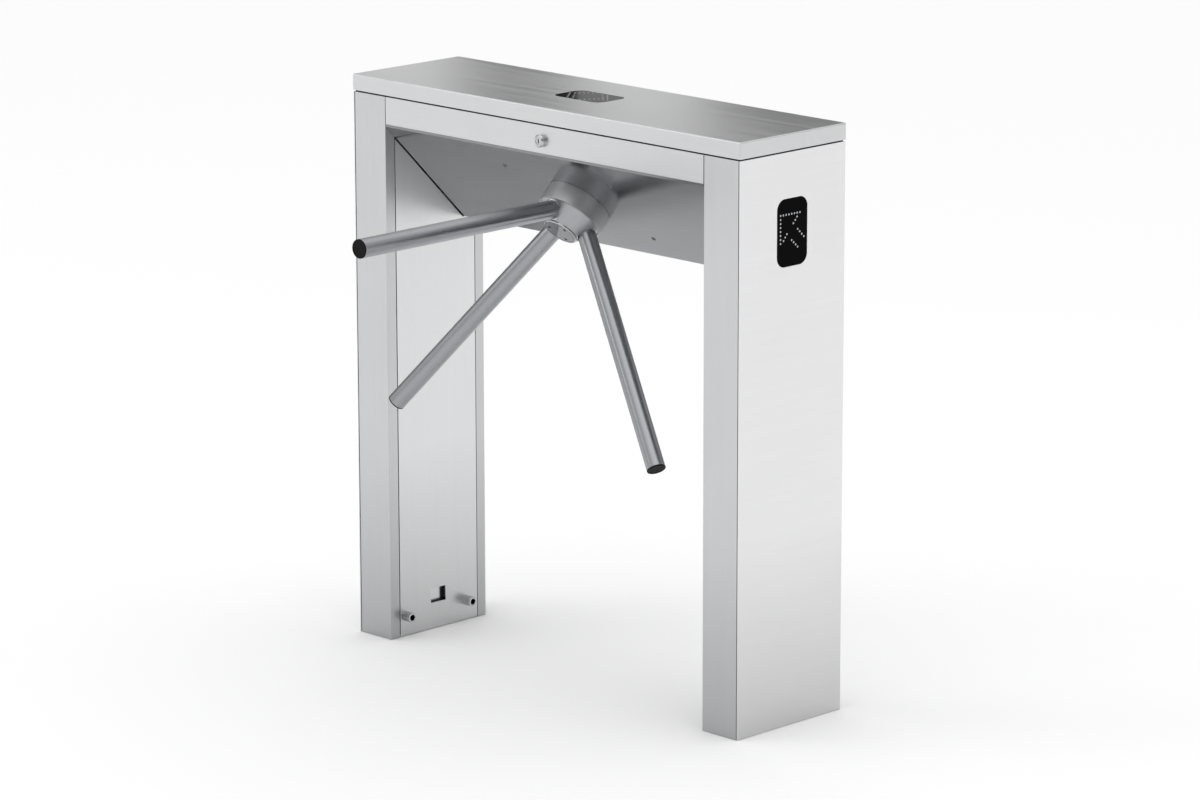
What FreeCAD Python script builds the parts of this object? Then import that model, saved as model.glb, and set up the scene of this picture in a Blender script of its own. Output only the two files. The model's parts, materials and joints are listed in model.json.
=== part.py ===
import FreeCAD, Part
import math
import os

# Bridge-type tripod turnstile: a stainless cabinet on two legs whose 45 degree front plate carries a
# three-armed rotor, with the bearing, centring, locking and counting gear behind the plate.
# +X along the cabinet, -Y towards the passage, +Z up, origin on the floor midway between the anchors.
# Millimetres.

# ---- Cabinet ----
LENGTH = 920.0            # end panel to end panel
DEPTH = 250.0             # front strip to rear wall
HEIGHT = 1000.0           # floor to top of lid
SHEET = 2.0               # folded stainless sheet
LEG_WIDTH = 80.0
SEAM = 1.5                # shadow gap between separate panels
FIT_GAP = 0.3             # clearance between pieces that only lie together
LID_RIM = 28.0
LID_OVERHANG = 1.0
LID_GAP = 2.7             # cabinet top to lid rim, filled by the gasket
APRON_HEIGHT = 52.0       # cabinet top to the fold of the inclined plate
SLOPE_DROP = 182.0        # height of the 45 degree plate
FRONT_FLANGE = 21.5       # leg return beside the inner cover, front
REAR_FLANGE = 18.5        # the same at the rear
CHAMFER = 21.0            # rear inner corner of each leg
HEM = 18.0                # folded edge behind an end panel
RIB = 3.0                 # cross ribs in a leg
RIB_LOW = 110.0           # lowest rib above the floor
RIB_DROP = 310.0          # lid top to highest rib
RIB_HOLE_R = 26.0
FOOT = 6.0                # base plate thickness
ANCHOR_HOLE_R = 7.0       # for M12 floor anchors
ANCHOR_Y = 80.0
CONDUIT_R = 19.0          # hole in the base plate for the floor conduit
GROMMET_BORE_R = 14.0
GROMMET_RIM = 3.0
GROMMET_LIFT = 0.5        # grommet spigot above the floor
GASKET_INSET = 3.0
GASKET_WIDTH = 7.0
APRON_FOLD = 10.0         # inward flange at the top of the apron
APRON_LAP = 14.0          # lap of the apron behind the inclined plate
PAD_HEIGHT = 60.0         # pads that stand an end panel off its leg
PAD_MARGIN = 4.0

# ---- Leg cover details ----
SLEEVE_R = 9.0
SLEEVE_LENGTH = 21.0
SLEEVE_Z = 37.5
SLEEVE_Y = (-91.5, 55.0)
SLEEVE_HOLE_R = 5.0
HEX_R = 5.5               # hexagon socket, across corners / 2
HEX_DEPTH = 12.0
SLEEVE_SHANK = 10.0       # shank behind the cover
SHANK_FIT = 0.1
WINDOW_Y = (-28.5, 7.5)
WINDOW_Z = (47.5, 74.0)
WINDOW_RECESS = 9.0
BLANK_RIM = 6.0

# ---- Displays ----
DISPLAY_SIZE = (72.0, 113.0)
DISPLAY_CENTRE_Y = -1.5
DISPLAY_TOP_DROP = 107.0  # lid top to top edge of the end display
DISPLAY_CORNER_R = 18.0
TOP_DISPLAY_SIZE = (113.0, 72.0)
TOP_DISPLAY_CENTRE = (-10.5, 3.0)
TOP_DISPLAY_CORNER_R = 18.0
WINDOW_LIP = 4.0          # window flange behind its cut-out
WINDOW_FIT = 0.2
BOARD = 1.6
BOARD_SPACE = 5.0
SPACER_R = 3.0

# ---- Rotor axis and outside parts; heights are measured outwards from the inclined plate ----
PLATE = 3.0
HUB_ALONG = 130.0         # down the slope from the apron fold to the rotor axis
PLATE_BORE_R = 30.0
COLLAR_R = 58.5
COLLAR_WALL = 5.0
COLLAR_HEIGHT = 33.5
COLLAR_FLOOR = 6.0
HUB_GAP = 0.5             # running gap between collar and hub
HUB_RIM_STEP = 0.5        # hub rim inside the collar's outline
HUB_RUN = 2.5             # clearance inside the collar
HUB_BACK = 13.0
ARM_R = 16.0
ARM_WALL = 2.0
ARM_TIP = 505.0           # from the point where the arm axes meet
ARM_LAND = 2.74           # hub cone left each side of an arm
ARM_LIFT = 2.0            # rise of the arm axes from the middle of the cone
ARM_SOCKET = 16.87        # depth of an arm in the hub
ARM_CONE = 45.0           # arm axis to rotor axis, degrees
ARM_PHASE = -1.4          # rest angle of the first arm
ARM_PLUG = 25.0
ARM_FIT = 0.05            # radial clearance in the hub sockets
SPOT_FACE_MARGIN = 2.2    # flat around each arm root
SPOT_FACE_DEPTH = 3.0
WASHER_MARGIN = 1.3       # polished washer around the arm, clear of the collar
ARM_WASHER = 1.0
PLUG_HEAD = 2.0
CAP_HEIGHT = 3.5
CAP_EDGE = 1.5
CAP_SCREW_PCD_R = 20.0
CAP_SCREW_R = 2.9
CAP_HEX_R = 1.6
CAP_GROOVE = (4.5, 1.2, 0.8)   # distance from the edge, width, depth

# ---- Shaft and bearings, depths measured inwards from the inclined plate ----
SHAFT_R = 15.0
SHAFT_SEAT_R = 12.5       # hub seat
SHAFT_THREAD_R = 10.0
HUB_SEAT_TOP = 48.0
NUT_HEIGHT = 9.0
NUT_R = 15.0              # across corners / 2
NUT_SPACE = 2.5           # socket spanner room around the nut
BORE_SPACE = 2.0          # clearance around the shaft in fixed plates
KEY_FIT = 0.02            # radial fit of wheels on the shaft
BEARING_R = 31.0
BEARING_WIDTH = 16.0
BEARING_RUN = 0.05        # radial running clearance on the shaft
BEARING_RING = 5.0        # wall of the inner and outer rings
BEARING_GROOVE = 0.8
HOUSING_WALL = 9.0
HOUSING_FLANGE_R = 50.0
HOUSING_FLANGE = 8.0
HOUSING_BOLT_INSET = 5.0
BOLT_R = 3.0
BOLT_HEAD = (5.0, 6.0)    # radius, height
BOLT_HEX = (2.9, 3.0)     # across corners / 2, depth
CORE_DEPTH = 70.0         # face of the mechanism plate
CORE_PLATE = 6.0
CORE_X = (-160.0, 200.0)
CORE_Y = 104.0
PILLAR_R = 8.0
PILLAR_X = 124.0
PILLAR_Y = 75.0
PILLAR_SCREW_R = 2.5
PILLAR_SCREW_FIT = 0.2
PILLAR_THREAD = 16.0      # blind thread in the front of a pillar
PILLAR_TAIL_GAP = 0.5
SCREW_GRIP = 15.0         # plate screw inside a pillar
BUTTON = (4.5, 3.0, 1.6)  # button head: radius at seat, radius at top, height
BUTTON_HEX = (1.7, 1.0)   # across corners / 2, depth

# ---- Lock wheel, pawls, solenoids ----
WHEEL_DEPTH = 83.0
WHEEL_THICK = 8.0
WHEEL_R = 60.0
NOTCHES = 12
NOTCH_DEPTH = 9.0
NOTCH_WIDTH = 12.0
PAWL_PIVOT = (-45.0, 62.0)
PAWL_TOOTH_WIDTH = 8.0
PAWL_ENGAGED_R = 53.5     # tooth tip from the rotor axis when locked
PAWL_SWING = 10.0
PAWL_TAIL = 20.0
PAWL_ARM_WIDTH = 12.0
PAWL_BOSS_R = 9.0
PAWL_TAIL_HALF = 4.0
PAWL_TAIL_END = 6.0       # tail beyond the plunger
PAWL_TOOTH_ROOT = 2.0     # lever clear of the wheel rim
STUD_R = 4.0
STUD_RUN = 0.05
STUD_SHOULDER = 3.0
STUD_HEAD = (2.0, 2.0)    # overhang, thickness
SOLENOID = (46.0, 22.0)   # length, side
SOLENOID_X = -98.0        # nose face
PLUNGER_R = 3.0
PLUNGER_RUN = 0.3
SOLENOID_WALL = 4.0       # closed end of the solenoid bore
PLUNGER_END = 2.0         # plunger tail to the end of its bore
PUSH_GAP = 0.85           # plunger nose to the middle of the resting pawl tail

# ---- Centring gear, counting disc ----
MODULE = 1.5
MAIN_TEETH = 72
CRANK_TEETH = 24
GEAR_DEPTH = 95.0
GEAR_THICK = 10.0
ADDENDUM = 1.1
DEDENDUM = 1.75
BACKLASH = 0.30
PRESSURE_ANGLE = 20.0
GEAR_WINDOWS = (6, 9.0, 34.0)  # number, radius, distance from the axis
CRANK_DISC_R = 24.0
CRANK_DISC_THICK = 6.0
CRANK_THROW = 17.0
CRANK_PIN_R = 3.0
CRANK_PIN = 18.0
CRANK_STUD_R = 6.0
CRANK_NECK = 4.0          # pinion to crank disc
CRANK_NECK_WALL = 5.0
CRANK_SHOULDER = 4.0
CRANK_HEAD = (3.0, 2.0)   # overhang, thickness
SPRING_POST_X = 180.0
SPRING_R = 7.0
SPRING_WIRE = 1.4
SPRING_LOOP_FIT = 0.3
POST_COLLAR = 2.0
POST_TIP = (3.0, 4.0)     # tip above and below the spring
DISC_DEPTH = 110.0
DISC_THICK = 2.0
DISC_R = 42.0
DISC_SLOTS = 24
DISC_SLOT = (3.0, 7.0, 3.0)    # distance from the rim, length, width
DISC_CLAMP = 6.0
SHAFT_END = 120.0
SENSOR_SLOT = 6.0
SENSOR_JAW = 3.0
SENSOR_HALF = 8.0
SENSOR_REACH = 12.0       # jaws over the rim of the disc
SENSOR_THROAT = 4.0
SENSOR_LEG = (4.0, 12.0)  # leg beyond the lock wheel, near and far face
SENSOR_FOOT = 14.0

# ---- Lock and hinges ----
LOCK_X = 4.9
LOCK_DROP = 25.9          # cabinet top to lock axis
LOCK_R = 11.0
LOCK_PROUD = 8.5
LOCK_BODY_R = 8.5
LOCK_BODY = 18.0
PLUG_R = 6.0
PLUG_RUN = 0.05
CAM_LENGTH = 32.0
CAM_WIDTH = 14.0
CAM_THICK = 3.0
CAM_CLEAR = 1.0
LOCK_EDGE = 2.5
LOCK_NUT = (13.0, 5.0)    # across corners / 2, height
PLUG_SINK = 0.8           # plug below the face of the head
PLUG_TAIL = 0.3           # plug beyond the barrel
KEY_SLOT = (2.2, 7.6, 16.0)    # width, height, depth
SPIGOT = 6.0              # square that turns the cam
STRIKER_X = (15.0, 30.0)  # beside the lock axis
STRIKER_FRONT = 16.0      # behind the cabinet front
STRIKER_LIP = 8.0
STRIKER_FOOT = 16.0
KNUCKLE_R = 4.0
HINGE_PIN_R = 2.0
HINGE_LENGTH = 60.0
HINGE_X = (-300.0, 300.0)
LEAF = 2.0
LEAF_DROP = 32.0          # hinge axis to the foot of the fixed leaf
LEAF_TOP_DROP = 6.0       # lid top to the moving leaf
LEAF_SPACE = 1.0          # leaf clear of the knuckles
PIN_RUN = 0.05
PIN_END = 1.0

# ---- Electronics behind the rear cover ----
PCB_SIZE = (150.0, 110.0)
PCB_CENTRE_X = -265.0
PCB_STANDOFF = 8.0
PCB_HOLE_INSET = 6.0
STANDOFF_R = 3.5
# left edge, bottom edge, width, height and depth of each block on the board
PCB_BLOCKS = [(12 + 22 * i, 70, 16, 20, 15) for i in range(4)] + [
    (10, 4, 60, 10, 12), (82, 4, 58, 10, 12), (60, 32, 24, 24, 2.5)]
CAPACITOR = (125.0, 78.0, 9.0, 26.0)   # x, z, radius, length
SUPPLY_SIZE = (110.0, 38.0, 80.0)
SUPPLY_CENTRE_X = 275.0
SUPPLY_LIFT = 30.0
SUPPLY_SLOTS = (6, 16.0, 6.0, 35.0, 2.0)   # number, pitch, width, height, depth

# ---- Derived places ----
HALF_L = LENGTH / 2
HALF_D = DEPTH / 2
INNER_X = HALF_L - LEG_WIDTH
ANCHOR_X = HALF_L - LEG_WIDTH / 2
PANEL_X = HALF_L - SHEET                       # inner face of an end panel
CABINET_TOP = HEIGHT - LID_RIM - LID_GAP
FOLD_Z = CABINET_TOP - APRON_HEIGHT
BELLY_Z = FOLD_Z - SLOPE_DROP
SLOPE_FOOT_Y = -HALF_D + SLOPE_DROP
S45 = math.sqrt(0.5)
AXIS_POINT = FreeCAD.Vector(0, -HALF_D + HUB_ALONG * S45, FOLD_Z - HUB_ALONG * S45)
TILT = FreeCAD.Rotation(FreeCAD.Vector(1, 0, 0), 135)
HUB_RIM_R = COLLAR_R - HUB_RIM_STEP
HUB_BODY_R = COLLAR_R - COLLAR_WALL - HUB_RUN
HUB_BOTTOM = COLLAR_HEIGHT + HUB_GAP
CONE_RUN = 2 * S45 * (ARM_R + ARM_LAND)        # radius lost along the 45 degree cone
HUB_TOP_R = HUB_RIM_R - CONE_RUN
HUB_TOP = HUB_BOTTOM + CONE_RUN
ARM_APEX = HUB_BOTTOM - HUB_TOP_R + ARM_LIFT   # crossing of the arm axes, above the plate
CONE_SUM = HUB_RIM_R + HUB_BOTTOM              # radius + height on the 45 degree cone
ARM_FACE = (CONE_SUM - ARM_APEX) * S45         # apex to cone face along an arm
ARM_ROOT = ARM_FACE - ARM_SOCKET
COVER_FRONT = -HALF_D + FRONT_FLANGE + SEAM
COVER_REAR = HALF_D - CHAMFER - REAR_FLANGE - SEAM
LOCK_Z = CABINET_TOP - LOCK_DROP
HINGE_Y = HALF_D + LID_OVERHANG + KNUCKLE_R
HINGE_Z = CABINET_TOP + LID_GAP / 2
DISPLAY_Z = HEIGHT - DISPLAY_TOP_DROP - DISPLAY_SIZE[1] / 2
SPOT_FACE_R = ARM_R + SPOT_FACE_MARGIN
CRANK_X = MODULE * (MAIN_TEETH + CRANK_TEETH) / 2
CORE_BACK = -CORE_DEPTH - CORE_PLATE           # rear face of the mechanism plate
GEAR_LOW = -GEAR_DEPTH - GEAR_THICK
WHEEL_LOW = -WHEEL_DEPTH - WHEEL_THICK
DISC_LOW = -DISC_DEPTH - DISC_THICK
CRANK_LOW = GEAR_LOW - CRANK_NECK - CRANK_DISC_THICK
SPRING_LEVEL = CRANK_LOW - CRANK_PIN / 2
BOARD_Z = (BELLY_Z + CABINET_TOP) / 2
RIB_HIGH = HEIGHT - RIB_DROP
RIB_LEVELS = (RIB_LOW, (RIB_LOW + RIB_HIGH) / 2, RIB_HIGH)

X = FreeCAD.Vector(1, 0, 0)
Y = FreeCAD.Vector(0, 1, 0)
Z = FreeCAD.Vector(0, 0, 1)

os.makedirs("parts", exist_ok=True)


def vec(x, y, z=0.0):
    return FreeCAD.Vector(x, y, z)


def block(x0, x1, y0, y1, z0, z1):
    """Box between two opposite corners."""
    return Part.makeBox(x1 - x0, y1 - y0, z1 - z0, vec(x0, y0, z0))


def rod(radius, start, end):
    """Cylinder from one point to another."""
    axis = end - start
    return Part.makeCylinder(radius, axis.Length, start, axis)


def prism(points, direction):
    """Solid swept from a closed polygon of vectors."""
    return Part.Face(Part.makePolygon(list(points) + [points[0]])).extrude(direction)


def lathe(profile):
    """Solid of revolution about Z from (radius, height) points."""
    points = [vec(r, 0, h) for r, h in profile]
    return Part.Face(Part.makePolygon(points + [points[0]])).revolve(vec(0, 0, 0), Z, 360)


def tube(outer, inner, low, high):
    """Round ring about Z."""
    return lathe([(inner, low), (outer, low), (outer, high), (inner, high)])


def mirrored(shape):
    """The same piece for the other end of the cabinet."""
    return shape.mirror(vec(0, 0, 0), X)


def turned(shape, angle, centre=None, axis=None):
    """Copy turned about an axis, the Z axis unless another is given."""
    copy = shape.copy()
    copy.rotate(centre or vec(0, 0, 0), axis or Z, angle)
    return copy


def rounded_plate(width, height, radius, thickness):
    """Plate in the XY plane, centred, with rounded corners."""
    plate = block(-width / 2, width / 2, -height / 2, height / 2, 0, thickness)
    return plate.makeFillet(radius, [e for e in plate.Edges if abs(e.tangentAt(0).z) > 0.9])


def hexagon(radius, low, high):
    """Hexagonal bar about Z."""
    corners = [vec(radius * math.cos(math.radians(60 * i)), radius * math.sin(math.radians(60 * i)), low)
               for i in range(6)]
    return prism(corners, vec(0, 0, high - low))


def on_axis(shape):
    """Move a piece drawn about Z, outwards positive, onto the rotor axis."""
    placed = shape.copy()
    placed.Placement = FreeCAD.Placement(AXIS_POINT, TILT).multiply(placed.Placement)
    return placed


def save(name, *solids):
    """Write one node, as one solid or a group of separate solids."""
    shape = solids[0] if len(solids) == 1 else Part.makeCompound(list(solids))
    shape.exportStep(os.path.join("parts", name + ".step"))


# ---- Cabinet ----

def leg_section(z0, z1):
    """Front and rear channels of a right-hand leg."""
    hem_x = PANEL_X - SEAM
    height = vec(0, 0, z1 - z0)
    s = SHEET
    front = [(INNER_X, -HALF_D), (hem_x, -HALF_D), (hem_x, -HALF_D + HEM), (hem_x - s, -HALF_D + HEM),
             (hem_x - s, -HALF_D + s), (INNER_X + s, -HALF_D + s), (INNER_X + s, -HALF_D + FRONT_FLANGE),
             (INNER_X, -HALF_D + FRONT_FLANGE)]
    inset = s * math.tan(math.radians(22.5))
    rear_y = HALF_D - CHAMFER
    rear = [(INNER_X, rear_y - REAR_FLANGE), (INNER_X + s, rear_y - REAR_FLANGE), (INNER_X + s, rear_y - inset),
            (INNER_X + CHAMFER + inset, HALF_D - s), (hem_x - s, HALF_D - s), (hem_x - s, HALF_D - HEM),
            (hem_x, HALF_D - HEM), (hem_x, HALF_D), (INNER_X + CHAMFER, HALF_D), (INNER_X, rear_y)]
    return [prism([vec(x, y, z0) for x, y in outline], height) for outline in (front, rear)]


def leg_inside():
    """Outline of the space inside the walls of a right-hand leg."""
    s = SHEET
    edge = PANEL_X - SEAM - s
    corner = s * math.tan(math.radians(22.5))
    return [(INNER_X + s, -HALF_D + s), (edge, -HALF_D + s), (edge, HALF_D - s),
            (INNER_X + CHAMFER + corner, HALF_D - s), (INNER_X + s, HALF_D - CHAMFER - corner)]


def leg_rib(level):
    """Cross rib that joins the channels and carries the inner cover."""
    rib = prism([vec(x, y, level) for x, y in leg_inside()], vec(0, 0, RIB))
    middle = vec(INNER_X + LEG_WIDTH / 2, 0, level)
    return rib.cut(rod(RIB_HOLE_R, middle, middle + vec(0, 0, RIB)))


def leg_shell():
    front, rear = leg_section(0, CABINET_TOP)
    shell = front.fuse([rear] + [leg_rib(level) for level in RIB_LEVELS])
    return shell.removeSplitter()


def base_plate():
    """Foot inside a right-hand leg with two anchor holes and the conduit hole."""
    plate = prism([vec(x, y, 0) for x, y in leg_inside()], vec(0, 0, FOOT))
    for y in (-ANCHOR_Y, ANCHOR_Y):
        plate = plate.cut(rod(ANCHOR_HOLE_R, vec(ANCHOR_X, y, 0), vec(ANCHOR_X, y, FOOT)))
    return plate.cut(rod(CONDUIT_R, vec(ANCHOR_X, 0, 0), vec(ANCHOR_X, 0, FOOT)))


def conduit_grommet():
    rim = tube(CONDUIT_R + GROMMET_RIM, GROMMET_BORE_R, FOOT, FOOT + GROMMET_RIM)
    ring = rim.fuse(tube(CONDUIT_R, GROMMET_BORE_R, GROMMET_LIFT, FOOT))
    ring = ring.removeSplitter()
    ring.translate(vec(ANCHOR_X, 0, 0))
    return ring


def end_display_place(x):
    """Placement of a right-hand end display, its face towards +X."""
    return FreeCAD.Placement(vec(x, DISPLAY_CENTRE_Y, DISPLAY_Z),
                             FreeCAD.Rotation(vec(0, 1, 0), vec(0, 0, 1), vec(1, 0, 0), "ZXY"))


def end_panel():
    """Right-hand end panel on pads against the leg hems, with the display cut-out."""
    panel = block(PANEL_X, HALF_L, -HALF_D, HALF_D, 0, CABINET_TOP)
    edge = HALF_D - HEM + SHEET
    for level in RIB_LEVELS:
        for y0, y1 in ((-HALF_D + PAD_MARGIN, -edge), (edge, HALF_D - PAD_MARGIN)):
            panel = panel.fuse(block(PANEL_X - SEAM, PANEL_X, y0, y1, level, level + PAD_HEIGHT))
    panel = panel.removeSplitter()
    hole = rounded_plate(*DISPLAY_SIZE, DISPLAY_CORNER_R, SHEET)
    hole.Placement = end_display_place(PANEL_X)
    return panel.cut(hole)


def window_shape(size, corner):
    """Window about its own centre, face at +SHEET, with a flange behind the cut-out."""
    width, height = size
    face = rounded_plate(width - 2 * WINDOW_FIT, height - 2 * WINDOW_FIT, corner - WINDOW_FIT, SHEET)
    lip = rounded_plate(width + 2 * WINDOW_LIP, height + 2 * WINDOW_LIP, corner + WINDOW_LIP, SHEET)
    lip.translate(vec(0, 0, -SHEET))
    return face.fuse(lip).removeSplitter()


def led_board_shape(size, corner):
    """LED board with four spacers up to the window flange."""
    width, height = size
    board = rounded_plate(width, height, corner, BOARD)
    board.translate(vec(0, 0, -SHEET - BOARD_SPACE - BOARD))
    spacers = [rod(SPACER_R, vec(x, y, -SHEET - BOARD_SPACE), vec(x, y, -SHEET))
               for x in (-width / 3, width / 3) for y in (-height / 3, height / 3)]
    return board.fuse(spacers).removeSplitter()


def in_end_panel(shape):
    shape.Placement = end_display_place(PANEL_X)
    return shape


def in_lid(shape):
    return shape.translated(vec(*TOP_DISPLAY_CENTRE, HEIGHT - SHEET))


def inner_cover():
    """Removable inner cover of a right-hand leg, following the inclined plate at its top."""
    top_front = FOLD_Z - (COVER_FRONT + HALF_D) - SEAM / S45
    low = SEAM
    outline = [(COVER_FRONT, low), (COVER_REAR, low), (COVER_REAR, BELLY_Z - SEAM),
               (SLOPE_FOOT_Y - SEAM * (1 / S45 - 1), BELLY_Z - SEAM), (COVER_FRONT, top_front)]
    cover = prism([vec(INNER_X, y, z) for y, z in outline], vec(SHEET, 0, 0))
    cover = cover.cut(block(INNER_X, INNER_X + SHEET, *WINDOW_Y, *WINDOW_Z))
    for y in SLEEVE_Y:
        cover = cover.cut(rod(SLEEVE_HOLE_R, vec(INNER_X, y, SLEEVE_Z), vec(INNER_X + SHEET, y, SLEEVE_Z)))
    return cover


def window_blank():
    """Tray that closes the cable window of a right-hand leg."""
    y0, y1 = WINDOW_Y
    z0, z1 = WINDOW_Z
    rim = BLANK_RIM
    back = INNER_X + SHEET + WINDOW_RECESS
    tray = block(INNER_X + SHEET, back, y0 - SHEET, y1 + SHEET, z0 - SHEET, z1 + SHEET)
    tray = tray.fuse(block(INNER_X + SHEET, INNER_X + 2 * SHEET, y0 - rim, y1 + rim, z0 - rim, z1 + rim))
    tray = tray.cut(block(INNER_X + SHEET, back - SHEET, y0, y1, z0, z1))
    return tray.removeSplitter()


def sleeve_bolt(y):
    """Socket sleeve bolt that holds the inner cover, its shank through the cover."""
    body = rod(SLEEVE_R, vec(INNER_X - SLEEVE_LENGTH, y, SLEEVE_Z), vec(INNER_X, y, SLEEVE_Z))
    body = body.makeChamfer(1.0, [e for e in body.Edges if e.CenterOfMass.x < INNER_X - SLEEVE_LENGTH + 0.5
                                  and len(e.Vertexes) == 1])
    end = INNER_X + SHEET + SLEEVE_SHANK
    shank = rod(SLEEVE_HOLE_R - SHANK_FIT, vec(INNER_X, y, SLEEVE_Z), vec(end, y, SLEEVE_Z))
    socket = hexagon(HEX_R, 0, HEX_DEPTH)
    socket.Placement = FreeCAD.Placement(vec(INNER_X - SLEEVE_LENGTH, y, SLEEVE_Z), FreeCAD.Rotation(Z, X))
    return body.fuse(shank).cut(socket).removeSplitter()


def front_apron():
    """Apron under the lid with a top fold and a lap behind the inclined plate."""
    s = SHEET
    low = FOLD_Z + PLATE / S45 + FIT_GAP
    inner = low + s * math.tan(math.radians(22.5))
    outline = [(-HALF_D, low), (-HALF_D, CABINET_TOP), (-HALF_D + APRON_FOLD, CABINET_TOP),
               (-HALF_D + APRON_FOLD, CABINET_TOP - s), (-HALF_D + s, CABINET_TOP - s), (-HALF_D + s, inner),
               (-HALF_D + s + APRON_LAP, inner - APRON_LAP), (-HALF_D + APRON_LAP, low - APRON_LAP)]
    half = INNER_X - SEAM
    apron = prism([vec(-half, y, z) for y, z in outline], vec(2 * half, 0, 0))
    outside, inside = vec(LOCK_X, -HALF_D, LOCK_Z), vec(LOCK_X, -HALF_D + s, LOCK_Z)
    return apron.cut(rod(LOCK_BODY_R + SHANK_FIT, outside, inside))


def inclined_plate():
    """45 degree plate that carries the rotor, drawn flat about the rotor axis."""
    low = HUB_ALONG - SLOPE_DROP / S45
    edge = INNER_X - SEAM / 2
    outline = [(low, 0), (HUB_ALONG, 0), (HUB_ALONG + PLATE, -PLATE), (low, -PLATE)]
    plate = prism([vec(-edge, y, z) for y, z in outline], vec(2 * edge, 0, 0))
    plate = plate.cut(Part.makeCylinder(PLATE_BORE_R, PLATE, vec(0, 0, -PLATE)))
    for x, y in pillar_places():
        plate = plate.cut(Part.makeCylinder(PILLAR_SCREW_R + PILLAR_SCREW_FIT, PLATE, vec(x, y, -PLATE)))
    return on_axis(plate)


def belly_plate():
    """Flat underside behind the inclined plate, lapped under the rear cover."""
    front = SLOPE_FOOT_Y + PLATE * (1 / S45 - 1) + SEAM
    rear = HALF_D - SHEET
    leg_rear = HALF_D - CHAMFER
    half = INNER_X - SEAM / 2
    ear = half + rear - leg_rear
    outline = [(-half, front), (half, front), (half, leg_rear), (ear, rear), (-ear, rear), (-half, leg_rear)]
    return prism([vec(x, y, BELLY_Z) for x, y in outline], vec(0, 0, SHEET))


def rear_cover():
    """Rear wall of the bridge between the legs."""
    half = INNER_X + CHAMFER - SHEET - SEAM
    cover = block(-half, half, HALF_D - SHEET, HALF_D, BELLY_Z, CABINET_TOP)
    fold = block(-half + CHAMFER, half - CHAMFER, HALF_D - APRON_FOLD, HALF_D - SHEET,
                 CABINET_TOP - SHEET, CABINET_TOP)
    return cover.fuse(fold).removeSplitter()


def lid_gasket():
    """Flat rubber frame under the lid rim, on the folds and the leg tops."""
    inset = GASKET_INSET
    width = GASKET_WIDTH
    outer = block(-HALF_L + inset, HALF_L - inset, -HALF_D + inset, HALF_D - inset,
                  CABINET_TOP, CABINET_TOP + LID_GAP - FIT_GAP)
    inner = block(-HALF_L + inset + width, HALF_L - inset - width, -HALF_D + inset + width,
                  HALF_D - inset - width, CABINET_TOP, CABINET_TOP + LID_GAP)
    return outer.cut(inner)


# ---- Lid ----

def lid():
    """Shallow tray with a cut-out for the top display."""
    x, y = HALF_L + LID_OVERHANG, HALF_D + LID_OVERHANG
    rim = HEIGHT - LID_RIM
    tray = block(-x, x, -y, y, rim, HEIGHT)
    tray = tray.makeFillet(2.5, [e for e in tray.Edges if e.CenterOfMass.z > rim + 1])
    tray = tray.cut(block(-x + SHEET, x - SHEET, -y + SHEET, y - SHEET, rim, HEIGHT - SHEET))
    hole = rounded_plate(*TOP_DISPLAY_SIZE, TOP_DISPLAY_CORNER_R, SHEET)
    hole.translate(vec(*TOP_DISPLAY_CENTRE, HEIGHT - SHEET))
    return tray.cut(hole)


def striker():
    """Bracket under the lid whose lip lies below the turned lock cam."""
    x0, x1 = (LOCK_X + x for x in STRIKER_X)
    lip_top = LOCK_Z - CAM_WIDTH / 2 - CAM_CLEAR
    front = -HALF_D + STRIKER_FRONT
    tab = front + STRIKER_LIP
    outline = [(front, lip_top - SHEET), (tab + SHEET, lip_top - SHEET), (tab + SHEET, HEIGHT - 2 * SHEET),
               (tab + STRIKER_FOOT, HEIGHT - 2 * SHEET), (tab + STRIKER_FOOT, HEIGHT - SHEET),
               (tab, HEIGHT - SHEET), (tab, lip_top), (front, lip_top)]
    return prism([vec(x0, y, z) for y, z in outline], vec(x1 - x0, 0, 0))


def hinge_parts(centre_x):
    """Fixed leaf, moving leaf and pin of one rear butt hinge."""
    half = HINGE_LENGTH / 2
    third = HINGE_LENGTH / 6
    gap = FIT_GAP
    centre = vec(centre_x, HINGE_Y, HINGE_Z)

    def knuckle(a, b):
        return rod(KNUCKLE_R, centre + vec(a, 0, 0), centre + vec(b, 0, 0))

    def web(a, b, z0, z1, y_face):
        return block(centre_x + a, centre_x + b, y_face, y_face + LEAF, z0, z1)

    clear = KNUCKLE_R + LEAF_SPACE
    bore = rod(HINGE_PIN_R + PIN_RUN, centre - vec(half, 0, 0), centre + vec(half, 0, 0))
    fixed = knuckle(-half, -third).fuse([
        knuckle(third, half),
        web(-half, half, HINGE_Z - LEAF_DROP, HINGE_Z - clear, HALF_D),
        web(-half, -third, HINGE_Z - clear, HINGE_Z, HALF_D),
        web(third, half, HINGE_Z - clear, HINGE_Z, HALF_D)])
    face = HALF_D + LID_OVERHANG
    moving = knuckle(-third + gap, third - gap).fuse([
        web(-half, half, HINGE_Z + clear, HEIGHT - LEAF_TOP_DROP, face),
        web(-third + gap, third - gap, HINGE_Z, HINGE_Z + clear, face)])
    pin = rod(HINGE_PIN_R, centre - vec(half + PIN_END, 0, 0), centre + vec(half + PIN_END, 0, 0))
    return fixed.cut(bore).removeSplitter(), moving.cut(bore).removeSplitter(), pin


# ---- Lock: drawn about Y through the lock axis ----

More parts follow.
